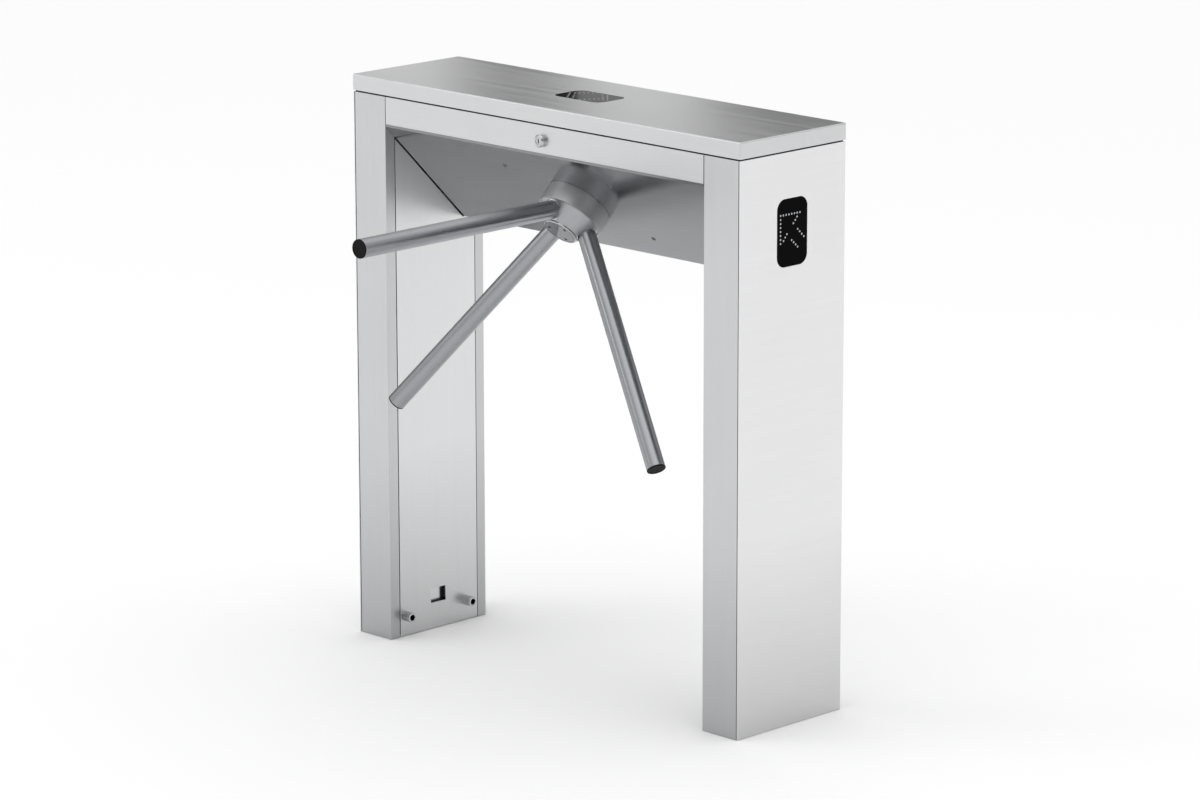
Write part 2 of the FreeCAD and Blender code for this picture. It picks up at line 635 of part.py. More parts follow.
def lock_pieces():
    face = -HALF_D

    def bar(radius, y0, y1):
        return rod(radius, vec(LOCK_X, y0, LOCK_Z), vec(LOCK_X, y1, LOCK_Z))

    front, back = face - LOCK_PROUD, face + LOCK_BODY
    head = bar(LOCK_R, front, face)
    head = head.makeChamfer(LOCK_EDGE, [e for e in head.Edges if e.CenterOfMass.y < front + LOCK_EDGE
                                        and len(e.Vertexes) == 1])
    barrel = head.fuse(bar(LOCK_BODY_R, face, back)).removeSplitter()
    barrel = barrel.cut(bar(PLUG_R + PLUG_RUN, front, back))
    nut_r, nut_height = LOCK_NUT
    nut = hexagon(nut_r, 0, nut_height).cut(Part.makeCylinder(LOCK_BODY_R + PLUG_RUN, nut_height))
    nut.Placement = FreeCAD.Placement(vec(LOCK_X, face + SHEET, LOCK_Z), FreeCAD.Rotation(Z, Y))
    cam_y = back + PLUG_TAIL
    wide, tall, deep = KEY_SLOT
    slot = block(LOCK_X - wide / 2, LOCK_X + wide / 2, front, front + deep,
                 LOCK_Z - tall / 2, LOCK_Z + tall / 2)
    half = SPIGOT / 2
    spigot = block(LOCK_X - half, LOCK_X + half, cam_y, cam_y + CAM_THICK, LOCK_Z - half, LOCK_Z + half)
    plug = bar(PLUG_R, front + PLUG_SINK, cam_y).cut(slot).fuse(spigot).removeSplitter()
    cam = block(LOCK_X - CAM_WIDTH / 2, LOCK_X + CAM_WIDTH / 2, cam_y, cam_y + CAM_THICK,
                LOCK_Z, LOCK_Z + CAM_LENGTH)
    cam = cam.fuse(bar(CAM_WIDTH / 2, cam_y, cam_y + CAM_THICK)).cut(spigot).removeSplitter()
    return barrel, nut, plug, cam


# ---- Rotor, outside the plate ----

def arm_direction(index):
    """Unit vector of an arm in the rotor's own axes."""
    turn = math.radians(ARM_PHASE + 120 * index)
    lean = math.radians(ARM_CONE)
    return vec(-math.sin(lean) * math.sin(turn), math.sin(lean) * math.cos(turn), math.cos(lean))


def along_arm(index, distance):
    return vec(0, 0, ARM_APEX) + arm_direction(index) * distance


def collar():
    """Fixed skirt around the hub."""
    outer = COLLAR_R
    inner, bore = outer - COLLAR_WALL, PLATE_BORE_R + BORE_SPACE
    ring = lathe([(inner, COLLAR_FLOOR), (inner, COLLAR_HEIGHT), (outer, COLLAR_HEIGHT), (outer, 0), (bore, 0),
                  (bore, COLLAR_FLOOR)])
    return on_axis(ring)


def rotor_hub():
    profile = [(SHAFT_SEAT_R, HUB_BACK), (HUB_BODY_R, HUB_BACK), (HUB_BODY_R, HUB_BOTTOM),
               (HUB_RIM_R, HUB_BOTTOM), (HUB_TOP_R, HUB_TOP), (NUT_R + NUT_SPACE, HUB_TOP),
               (NUT_R + NUT_SPACE, HUB_SEAT_TOP), (SHAFT_SEAT_R, HUB_SEAT_TOP)]
    hub = lathe(profile)
    for i in range(3):
        outside = along_arm(i, ARM_FACE + ARM_R + SPOT_FACE_R)
        hub = hub.cut(rod(ARM_R + ARM_FIT, along_arm(i, ARM_ROOT), outside))
        hub = hub.cut(rod(SPOT_FACE_R, along_arm(i, ARM_FACE - SPOT_FACE_DEPTH), outside))
    return on_axis(hub)


def arm(index):
    """Arm tube, seated in its hub socket."""
    start, end = along_arm(index, ARM_ROOT), along_arm(index, ARM_TIP - PLUG_HEAD)
    return on_axis(rod(ARM_R, start, end).cut(rod(ARM_R - ARM_WALL, start, end)))


def arm_plug(index):
    """Flat end plug with a spigot inside the tube."""
    tip = along_arm(index, ARM_TIP)
    seat = along_arm(index, ARM_TIP - PLUG_HEAD)
    head = rod(ARM_R, seat, tip)
    spigot = rod(ARM_R - ARM_WALL, along_arm(index, ARM_TIP - PLUG_HEAD - ARM_PLUG), seat)
    return on_axis(head.fuse(spigot).removeSplitter())


def arm_washer(index):
    """Polished washer on the spot face around an arm root."""
    seat = ARM_FACE - SPOT_FACE_DEPTH
    low, high = along_arm(index, seat), along_arm(index, seat + ARM_WASHER)
    return on_axis(rod(ARM_R + WASHER_MARGIN, low, high).cut(rod(ARM_R + ARM_FIT, low, high)))


def hub_cap():
    top = HUB_TOP + CAP_HEIGHT
    inset, width, depth = CAP_GROOVE
    edge, groove = HUB_TOP_R - HUB_RIM_STEP, HUB_TOP_R - inset
    cap = lathe([(0, HUB_TOP), (edge, HUB_TOP), (edge, top - CAP_EDGE), (edge - CAP_EDGE, top), (groove, top),
                 (groove, top - depth), (groove - width, top - depth), (groove - width, top), (0, top)])
    for i in range(3):
        x, y = cap_screw_place(i)
        cap = cap.cut(Part.makeCylinder(CAP_SCREW_R + SHANK_FIT, CAP_HEIGHT, vec(x, y, HUB_TOP)))
    return on_axis(cap)


def cap_screw_place(index):
    turn = math.radians(ARM_PHASE + 120 * index + 60)
    return -CAP_SCREW_PCD_R * math.sin(turn), CAP_SCREW_PCD_R * math.cos(turn)


def cap_screw(index):
    x, y = cap_screw_place(index)
    screw = Part.makeCylinder(CAP_SCREW_R, CAP_HEIGHT - 2 * SHANK_FIT, vec(x, y, HUB_TOP))
    socket = hexagon(CAP_HEX_R, HUB_TOP + CAP_HEIGHT / 3, HUB_TOP + CAP_HEIGHT)
    socket.translate(vec(x, y, 0))
    return on_axis(screw.cut(socket))


def shaft_nut():
    nut = hexagon(NUT_R, HUB_SEAT_TOP, HUB_SEAT_TOP + NUT_HEIGHT)
    return on_axis(nut.cut(Part.makeCylinder(SHAFT_THREAD_R, NUT_HEIGHT, vec(0, 0, HUB_SEAT_TOP))))


# ---- Shaft and housing ----

def rotor_shaft():
    end = -SHAFT_END
    return on_axis(lathe([(0, end), (SHAFT_R, end), (SHAFT_R, HUB_BACK), (SHAFT_SEAT_R, HUB_BACK),
                          (SHAFT_SEAT_R, HUB_SEAT_TOP), (SHAFT_THREAD_R, HUB_SEAT_TOP),
                          (SHAFT_THREAD_R, HUB_SEAT_TOP + NUT_HEIGHT), (0, HUB_SEAT_TOP + NUT_HEIGHT)]))


def bearing_levels():
    """Inner ends of the two bearings."""
    first = -PLATE - HOUSING_FLANGE / 2 - BEARING_WIDTH
    return first, -CORE_DEPTH + BORE_SPACE


def bearing_housing():
    outer = BEARING_R + HOUSING_WALL
    front, back = -PLATE, -CORE_DEPTH
    bore = SHAFT_R + BORE_SPACE
    body = lathe([(bore, front), (HOUSING_FLANGE_R, front), (HOUSING_FLANGE_R, front - HOUSING_FLANGE),
                  (outer, front - HOUSING_FLANGE), (outer, back), (bore, back)])
    for level in bearing_levels():
        body = body.cut(Part.makeCylinder(BEARING_R, BEARING_WIDTH, vec(0, 0, level)))
    for i in range(4):
        x, y = housing_bolt_place(i)
        body = body.cut(Part.makeCylinder(BOLT_R, HOUSING_FLANGE, vec(x, y, front - HOUSING_FLANGE)))
    return on_axis(body)


def housing_bolt_place(index):
    turn = math.radians(45 + 90 * index)
    radius = HOUSING_FLANGE_R - HOUSING_BOLT_INSET
    return radius * math.cos(turn), radius * math.sin(turn)


def housing_bolt(index):
    """Cap screw through the flange into the plate, its head inside the cabinet."""
    x, y = housing_bolt_place(index)
    back = -PLATE - HOUSING_FLANGE
    head_r, head_height = BOLT_HEAD
    hex_r, hex_depth = BOLT_HEX
    low = back - head_height
    head = Part.makeCylinder(head_r, head_height, vec(x, y, low))
    head = head.cut(hexagon(hex_r, low, low + hex_depth).translated(vec(x, y, 0)))
    return on_axis(head.fuse(Part.makeCylinder(BOLT_R, HOUSING_FLANGE, vec(x, y, back))).removeSplitter())


def bearing(level):
    ring = tube(BEARING_R, SHAFT_R + BEARING_RUN, level, level + BEARING_WIDTH)
    groove = tube(BEARING_R - BEARING_RING, SHAFT_R + BEARING_RING, level, level + BEARING_GROOVE)
    return on_axis(ring.cut(groove).cut(groove.translated(vec(0, 0, BEARING_WIDTH - BEARING_GROOVE))))


def core_plate():
    """Mechanism plate on the four pillars."""
    plate = block(*CORE_X, -CORE_Y, CORE_Y, CORE_BACK, -CORE_DEPTH)
    plate = plate.cut(Part.makeCylinder(SHAFT_R + BORE_SPACE, CORE_PLATE, vec(0, 0, CORE_BACK)))
    for x, y in pillar_places():
        plate = plate.cut(Part.makeCylinder(PILLAR_SCREW_R, CORE_PLATE, vec(x, y, CORE_BACK)))
    return on_axis(plate)


def pillar_places():
    return [(x, y) for x in (-PILLAR_X, PILLAR_X) for y in (-PILLAR_Y, PILLAR_Y)]


def pillar(x, y):
    """Spacer pillar with a threaded end through the mechanism plate and a blind thread in front."""
    body = Part.makeCylinder(PILLAR_R, CORE_DEPTH - PLATE, vec(x, y, -CORE_DEPTH))
    end = CORE_BACK + PILLAR_TAIL_GAP
    tail = Part.makeCylinder(PILLAR_SCREW_R, CORE_PLATE - PILLAR_TAIL_GAP, vec(x, y, end))
    thread = Part.makeCylinder(PILLAR_SCREW_R, PILLAR_THREAD, vec(x, y, -PLATE - PILLAR_THREAD))
    return on_axis(body.fuse(tail).removeSplitter().cut(thread))


def plate_screw(x, y):
    """Low button-head screw from the outside into a pillar."""
    top = BUTTON[2]
    hex_r, hex_depth = BUTTON_HEX
    socket = hexagon(hex_r, top - hex_depth, top).translated(vec(x, y, 0))
    head = Part.makeCone(*BUTTON, vec(x, y, 0)).cut(socket)
    shank = Part.makeCylinder(PILLAR_SCREW_R, PLATE + SCREW_GRIP, vec(x, y, -PLATE - SCREW_GRIP))
    return on_axis(head.fuse(shank).removeSplitter())


# ---- Gears, wheel, pawls, counting disc ----

def gear(teeth, low, thickness, bore, phase):
    """Spur gear with straight-flanked teeth at 20 degrees; phase turns a tooth onto +X."""
    pitch_r = MODULE * teeth / 2
    outer, root = pitch_r + ADDENDUM, pitch_r - DEDENDUM
    half_pitch = (math.pi * MODULE - BACKLASH) / 4
    flank = math.tan(math.radians(PRESSURE_ANGLE))
    points = []
    for i in range(teeth):
        centre = 2 * math.pi * i / teeth + math.radians(phase)
        for radius, side in ((root, -1), (outer, -1), (outer, 1), (root, 1)):
            half = (half_pitch - (radius - pitch_r) * flank) / radius
            angle = centre + side * half
            points.append(vec(radius * math.cos(angle), radius * math.sin(angle), low))
    return prism(points, vec(0, 0, thickness)).cut(Part.makeCylinder(bore, thickness, vec(0, 0, low)))


def main_gear():
    wheel = gear(MAIN_TEETH, GEAR_LOW, GEAR_THICK, SHAFT_R + KEY_FIT, 0.0)
    count, radius, distance = GEAR_WINDOWS
    window = Part.makeCylinder(radius, GEAR_THICK, vec(distance, 0, GEAR_LOW))
    for i in range(count):
        wheel = wheel.cut(turned(window, 360 * (i + 0.5) / count))
    return on_axis(wheel)


def crank_gear():
    """Pinion, crank disc and crank pin on one hub; the pin rests towards the spring post."""
    bore = CRANK_STUD_R + STUD_RUN
    pinion = gear(CRANK_TEETH, GEAR_LOW, GEAR_THICK, bore, 180.0 / CRANK_TEETH)
    disc = tube(CRANK_DISC_R, bore, CRANK_LOW, CRANK_LOW + CRANK_DISC_THICK)
    neck = tube(CRANK_STUD_R + CRANK_NECK_WALL, bore, CRANK_LOW + CRANK_DISC_THICK, GEAR_LOW)
    pin = Part.makeCylinder(CRANK_PIN_R, CRANK_PIN, vec(CRANK_THROW, 0, CRANK_LOW - CRANK_PIN))
    crank = pinion.fuse([disc, neck, pin]).removeSplitter()
    return on_axis(crank.translated(vec(CRANK_X, 0, 0)))


def centring_spring():
    """Extension spring from the crank pin to the post, as its outer envelope with two end loops."""
    z, wire = SPRING_LEVEL, SPRING_WIRE
    left, right = CRANK_X + CRANK_THROW, SPRING_POST_X
    loop_in = CRANK_PIN_R + SPRING_LOOP_FIT
    loop_out = loop_in + 2 * wire
    loops = [tube(loop_out, loop_in, z - wire, z + wire).translated(vec(x, 0, 0)) for x in (left, right)]
    first, last = left + loop_out, right - loop_out
    ends = [rod(wire - SHANK_FIT, vec(first - wire / 2, 0, z), vec(first + 2 * wire, 0, z)),
            rod(wire - SHANK_FIT, vec(last - 2 * wire, 0, z), vec(last + wire / 2, 0, z))]
    coil = rod(SPRING_R, vec(first + wire, 0, z), vec(last - wire, 0, z))
    coil = coil.cut(rod(SPRING_R - wire, vec(first + 2.5 * wire, 0, z), vec(last - 2.5 * wire, 0, z)))
    return on_axis(coil.fuse(loops + ends).removeSplitter())


def pawl_stud(side):
    """Stud under a pawl: a shoulder up to the pawl, its journal and a retaining head."""
    px, py = PAWL_PIVOT
    shoulder, low = -WHEEL_DEPTH + FIT_GAP, WHEEL_LOW - FIT_GAP
    overhang, thick = STUD_HEAD
    pieces = [Part.makeCylinder(STUD_R + STUD_SHOULDER, CORE_BACK - shoulder, vec(px, side * py, shoulder)),
              Part.makeCylinder(STUD_R, shoulder - low, vec(px, side * py, low)),
              Part.makeCylinder(STUD_R + overhang, thick, vec(px, side * py, low - thick))]
    return on_axis(pieces[0].fuse(pieces[1:]).removeSplitter())


def crank_stud():
    """Arbor of the crank with a shoulder that carries it at the level of the main gear."""
    seat, low = -GEAR_DEPTH + FIT_GAP, CRANK_LOW - FIT_GAP
    overhang, thick = CRANK_HEAD
    shoulder = Part.makeCylinder(CRANK_STUD_R + CRANK_SHOULDER, CORE_BACK - seat, vec(CRANK_X, 0, seat))
    shank = Part.makeCylinder(CRANK_STUD_R, seat - low, vec(CRANK_X, 0, low))
    head = Part.makeCylinder(CRANK_STUD_R + overhang, thick, vec(CRANK_X, 0, low - thick))
    return on_axis(shoulder.fuse([shank, head]).removeSplitter())


def spring_post():
    above, below = POST_TIP
    seat, low = SPRING_LEVEL + above, SPRING_LEVEL - below
    foot = Part.makeCylinder(CRANK_PIN_R + POST_COLLAR, CORE_BACK - seat, vec(SPRING_POST_X, 0, seat))
    tip = Part.makeCylinder(CRANK_PIN_R, seat - low, vec(SPRING_POST_X, 0, low))
    return on_axis(foot.fuse(tip).removeSplitter())


def lock_wheel():
    wheel = tube(WHEEL_R, SHAFT_R + KEY_FIT, WHEEL_LOW, -WHEEL_DEPTH)
    half = NOTCH_WIDTH / 2
    notch = block(-half, half, WHEEL_R - NOTCH_DEPTH, WHEEL_R + NOTCH_DEPTH, WHEEL_LOW, -WHEEL_DEPTH)
    for i in range(NOTCHES):
        wheel = wheel.cut(turned(notch, 360 * i / NOTCHES))
    return on_axis(wheel)


def pawl(side):
    """Bell crank with its tooth over a notch; drawn locked, then swung to rest."""
    px, py = PAWL_PIVOT
    low, high = WHEEL_LOW, -WHEEL_DEPTH
    half = PAWL_ARM_WIDTH / 2
    boss = Part.makeCylinder(PAWL_BOSS_R, WHEEL_THICK, vec(px, py, low))
    lever_y = max(py, WHEEL_R + half + PAWL_TOOTH_ROOT)
    lever = block(px, PAWL_TOOTH_WIDTH / 2, lever_y - half + PAWL_TOOTH_ROOT / 2, lever_y + half, low, high)
    tooth = block(-PAWL_TOOTH_WIDTH / 2, PAWL_TOOTH_WIDTH / 2, PAWL_ENGAGED_R, lever_y, low, high)
    tail = block(px - PAWL_TAIL_HALF, px + PAWL_TAIL_HALF, py, py + PAWL_TAIL + PAWL_TAIL_END, low, high)
    body = boss.fuse([lever, tooth, tail]).removeSplitter()
    body = body.cut(Part.makeCylinder(STUD_R + STUD_RUN, WHEEL_THICK, vec(px, py, low)))
    body = turned(body, PAWL_SWING, vec(px, py, 0))
    if side < 0:
        body = body.mirror(vec(0, 0, 0), Y)
    return on_axis(body)


def plunger_place(side):
    """Height of a plunger's axis above the rotor axis, its depth, and where its nose rests."""
    px, py = PAWL_PIVOT
    swing = math.radians(PAWL_SWING)
    push_x = px - PAWL_TAIL * math.sin(swing) - PAWL_TAIL_HALF * math.cos(swing)
    return side * (py + PAWL_TAIL * math.cos(swing / 2)), (WHEEL_LOW - WHEEL_DEPTH) / 2, push_x - PUSH_GAP


def plunger(side):
    """Solenoid plunger; its nose touches the pawl tail."""
    y, z, nose = plunger_place(side)
    tail = SOLENOID_X - SOLENOID[0] + SOLENOID_WALL + PLUNGER_END
    return on_axis(rod(PLUNGER_R, vec(tail, y, z), vec(nose, y, z)))


def solenoid(side):
    """Solenoid body seated on the mechanism plate."""
    length, width = SOLENOID
    y, z, _ = plunger_place(side)
    body = block(SOLENOID_X - length, SOLENOID_X, y - width / 2, y + width / 2, 2 * z - CORE_BACK, CORE_BACK)
    bore = rod(PLUNGER_R + PLUNGER_RUN, vec(SOLENOID_X - length + SOLENOID_WALL, y, z), vec(SOLENOID_X, y, z))
    return on_axis(body.cut(bore))


def encoder_disc():
    disc = tube(DISC_R, SHAFT_R + KEY_FIT, DISC_LOW, -DISC_DEPTH)
    rim, length, width = DISC_SLOT
    slot = block(DISC_R - rim - length, DISC_R - rim, -width / 2, width / 2, DISC_LOW, -DISC_DEPTH)
    for i in range(DISC_SLOTS):
        disc = disc.cut(turned(slot, 360 * i / DISC_SLOTS))
    clamp = tube(SHAFT_R + DISC_CLAMP, SHAFT_R + KEY_FIT, -DISC_DEPTH, GEAR_LOW)
    return on_axis(disc.fuse(clamp).removeSplitter())


def count_sensor():
    """Fork sensor over the rim of the counting disc, on its own bracket."""
    mid, half, wide = (DISC_LOW - DISC_DEPTH) / 2, SENSOR_SLOT / 2, SENSOR_HALF
    top, low = mid + half + SENSOR_JAW, mid - half - SENSOR_JAW
    near, far = (-(WHEEL_R + x) for x in SENSOR_LEG)
    fork = block(far, -(DISC_R - SENSOR_REACH), -wide, wide, low, top)
    fork = fork.cut(block(-(DISC_R + SENSOR_THROAT), 0, -wide, wide, mid - half, mid + half))
    leg = block(far, near, -wide, wide, top, CORE_BACK - SHEET)
    foot = block(far - SENSOR_FOOT, near, -wide, wide, CORE_BACK - SHEET, CORE_BACK)
    return on_axis(fork.fuse([leg, foot]).removeSplitter())


# ---- Electronics ----

def controller_board():
    """Board with its relays, terminals and capacitor, parallel to the rear cover."""
    width, height = PCB_SIZE
    y = HALF_D - SHEET - PCB_STANDOFF
    face = y - BOARD
    x0, z0 = PCB_CENTRE_X - width / 2, BOARD_Z - height / 2
    board = block(x0, x0 + width, face, y, z0, z0 + height)
    parts = [block(x0 + x, x0 + x + wide, face - deep, face, z0 + z, z0 + z + high)
             for x, z, wide, high, deep in PCB_BLOCKS]
    x, z, radius, length = CAPACITOR
    parts.append(rod(radius, vec(x0 + x, face, z0 + z), vec(x0 + x, face - length, z0 + z)))
    return board.fuse(parts).removeSplitter()


def board_standoff(i, j):
    width, height = PCB_SIZE
    x = PCB_CENTRE_X + (i - 0.5) * (width - 2 * PCB_HOLE_INSET)
    z = BOARD_Z + (j - 0.5) * (height - 2 * PCB_HOLE_INSET)
    return rod(STANDOFF_R, vec(x, HALF_D - SHEET - PCB_STANDOFF, z), vec(x, HALF_D - SHEET, z))


def power_supply():
    """Switched supply in a slotted case on the rear cover."""
    width, depth, height = SUPPLY_SIZE
    z = BELLY_Z + SHEET + SUPPLY_LIFT
    y = HALF_D - SHEET - depth
    body = block(SUPPLY_CENTRE_X - width / 2, SUPPLY_CENTRE_X + width / 2, y, y + depth, z, z + height)
    count, pitch, wide, tall, deep = SUPPLY_SLOTS
    for i in range(count):
        x = SUPPLY_CENTRE_X + (i - (count - 1) / 2) * pitch
        body = body.cut(block(x - wide / 2, x + wide / 2, y, y + deep, z + (height - tall) / 2,
                              z + (height + tall) / 2))
    return body


# ---- Write every node ----

leg = leg_shell()
save("leg_shell_right", leg)
save("leg_shell_left", mirrored(leg))
foot = base_plate()
save("base_plates", foot, mirrored(foot))
grommet = conduit_grommet()
save("conduit_grommets", grommet, mirrored(grommet))
panel = end_panel()
save("end_panel_right", panel)
save("end_panel_left", mirrored(panel))
window = in_end_panel(window_shape(DISPLAY_SIZE, DISPLAY_CORNER_R))
save("end_windows", window, mirrored(window))
board = in_end_panel(led_board_shape(DISPLAY_SIZE, DISPLAY_CORNER_R))
save("end_led_boards", board, mirrored(board))
cover = inner_cover()
save("inner_cover_right", cover)
save("inner_cover_left", mirrored(cover))
blank = window_blank()
save("cable_window_blanks", blank, mirrored(blank))
sleeves = [sleeve_bolt(y) for y in SLEEVE_Y]
save("cover_sleeve_bolts", *sleeves, *[mirrored(s) for s in sleeves])
save("front_apron", front_apron())
save("inclined_plate", inclined_plate())
save("plate_screws", *[plate_screw(x, y) for x, y in pillar_places()])
save("belly_plate", belly_plate())
save("rear_cover", rear_cover())
save("lid_gasket", lid_gasket())

save("lid", lid())
save("top_window", in_lid(window_shape(TOP_DISPLAY_SIZE, TOP_DISPLAY_CORNER_R)))
save("top_led_board", in_lid(led_board_shape(TOP_DISPLAY_SIZE, TOP_DISPLAY_CORNER_R)))
save("striker", striker())
hinges = [hinge_parts(x) for x in HINGE_X]
save("hinge_fixed_leaves", *[h[0] for h in hinges])
save("hinge_moving_leaves", *[h[1] for h in hinges])
save("hinge_pins", *[h[2] for h in hinges])
for name, piece in zip(("lock_barrel", "lock_nut", "lock_plug", "lock_cam"), lock_pieces()):
    save(name, piece)

save("collar", collar())
save("rotor_hub", rotor_hub())
for number in range(3):
    save("arm_%d" % (number + 1), arm(number))
save("arm_end_plugs", *[arm_plug(i) for i in range(3)])
save("arm_washers", *[arm_washer(i) for i in range(3)])
save("hub_cap", hub_cap())
save("hub_cap_screws", *[cap_screw(i) for i in range(3)])
save("shaft_nut", shaft_nut())
save("rotor_shaft", rotor_shaft())

save("bearing_housing", bearing_housing())
save("housing_bolts", *[housing_bolt(i) for i in range(4)])
save("bearings", *[bearing(level) for level in bearing_levels()])
save("core_plate", core_plate())
save("core_pillars", *[pillar(x, y) for x, y in pillar_places()])
save("main_gear", main_gear())
save("crank_gear", crank_gear())
save("centring_spring", centring_spring())
save("lock_wheel", lock_wheel())
save("core_studs", crank_stud(), spring_post(), pawl_stud(1), pawl_stud(-1))
for name, side in (("upper", 1), ("lower", -1)):
    save("pawl_" + name, pawl(side))
    save("plunger_" + name, plunger(side))
save("solenoids", solenoid(1), solenoid(-1))
save("encoder_disc", encoder_disc())
save("count_sensor", count_sensor())
save("controller_board", controller_board())
save("board_standoffs", *[board_standoff(i, j) for i in (0, 1) for j in (0, 1)])
save("power_supply", power_supply())
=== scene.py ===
"""Looks of a stainless bridge turnstile: folded cabinet, hinged lid, three-armed rotor and its displays."""

import json
import logging
import math
from dataclasses import dataclass, field
from enum import Enum
from typing import Callable, Iterable, Optional, Sequence

import bmesh
import bpy
from mathutils import Matrix, Vector

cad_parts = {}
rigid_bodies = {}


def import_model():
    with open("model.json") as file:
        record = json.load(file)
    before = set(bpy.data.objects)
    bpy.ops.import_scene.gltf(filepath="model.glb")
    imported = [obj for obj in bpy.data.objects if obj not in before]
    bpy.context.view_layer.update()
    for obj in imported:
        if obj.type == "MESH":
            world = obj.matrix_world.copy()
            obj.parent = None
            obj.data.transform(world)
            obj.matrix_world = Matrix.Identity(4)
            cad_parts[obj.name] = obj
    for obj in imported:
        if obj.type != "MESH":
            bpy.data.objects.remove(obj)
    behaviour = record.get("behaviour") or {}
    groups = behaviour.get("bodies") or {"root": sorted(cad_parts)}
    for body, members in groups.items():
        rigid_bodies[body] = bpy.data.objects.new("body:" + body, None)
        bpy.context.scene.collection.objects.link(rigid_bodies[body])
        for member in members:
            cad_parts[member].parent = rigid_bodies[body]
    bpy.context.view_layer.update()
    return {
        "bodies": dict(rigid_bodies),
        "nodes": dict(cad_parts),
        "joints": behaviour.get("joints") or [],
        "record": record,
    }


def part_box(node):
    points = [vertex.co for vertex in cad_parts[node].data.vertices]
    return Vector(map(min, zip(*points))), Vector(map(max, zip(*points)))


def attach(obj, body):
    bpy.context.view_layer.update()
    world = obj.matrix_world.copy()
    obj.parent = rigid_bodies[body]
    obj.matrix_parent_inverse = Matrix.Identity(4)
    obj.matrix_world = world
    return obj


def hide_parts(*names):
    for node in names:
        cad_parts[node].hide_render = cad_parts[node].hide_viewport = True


log = logging.getLogger("turnstile")

MM = 0.001


# ---------------------------------------------------------------- node and colour helpers

def linear(code: str) -> tuple[float, float, float, float]:
    """Turn an sRGB hex colour into the linear values that sockets take.

    Args:
        code: Six hex digits, such as "C8C9CB".

    Returns:
        Red, green, blue and an alpha of one.
    """
    channels = []
    for i in (0, 2, 4):
        value = int(code[i:i + 2], 16) / 255
        channels.append(value / 12.92 if value <= 0.04045 else ((value + 0.055) / 1.055) ** 2.4)
    return channels[0], channels[1], channels[2], 1.0


def add_node(tree: bpy.types.NodeTree, kind: str, inputs: Optional[dict] = None,
             **settings: object) -> bpy.types.Node:
    """Add one node with its settings, input values and links.

    Args:
        tree: Node tree that gets the node.
        kind: Blender's name for the node type.
        inputs: Input name or number against a value, or against the output socket that feeds it.
        **settings: Properties of the node itself.

    Returns:
        The new node.
    """
    node = tree.nodes.new(kind)
    for name, value in settings.items():
        setattr(node, name, value)
    for key, value in (inputs or {}).items():
        if isinstance(value, bpy.types.NodeSocket):
            tree.links.new(value, node.inputs[key])
        else:
            node.inputs[key].default_value = value
    return node


def set_stops(node: bpy.types.Node, stops: Sequence[tuple[float, tuple[float, float, float, float]]]) -> None:
    """Give a colour ramp its stops.

    Args:
        node: The ramp node.
        stops: Position and linear colour of each stop, in order.
    """
    elements = node.color_ramp.elements
    while len(elements) < len(stops):
        elements.new(0.5)
    for element, (position, colour) in zip(elements, stops):
        element.position, element.color = position, colour


def grey(value: float) -> tuple[float, float, float, float]:
    """Neutral linear colour of one value."""
    return value, value, value, 1.0


# ---------------------------------------------------------------- finishes

def cells(size_mm: float) -> float:
    """Texture scale at which one cell of a pattern has this size in millimetres."""
    return 1 / (size_mm * MM)


class Grain(Enum):
    """Direction that a sheet was brushed in, along one of the part's axes."""

    LENGTHWISE = (1, 0, 0)
    CROSSWISE = (0, 1, 0)
    UPRIGHT = (0, 0, 1)


Signals = tuple[bpy.types.NodeSocket, Optional[bpy.types.NodeSocket], bpy.types.NodeSocket]


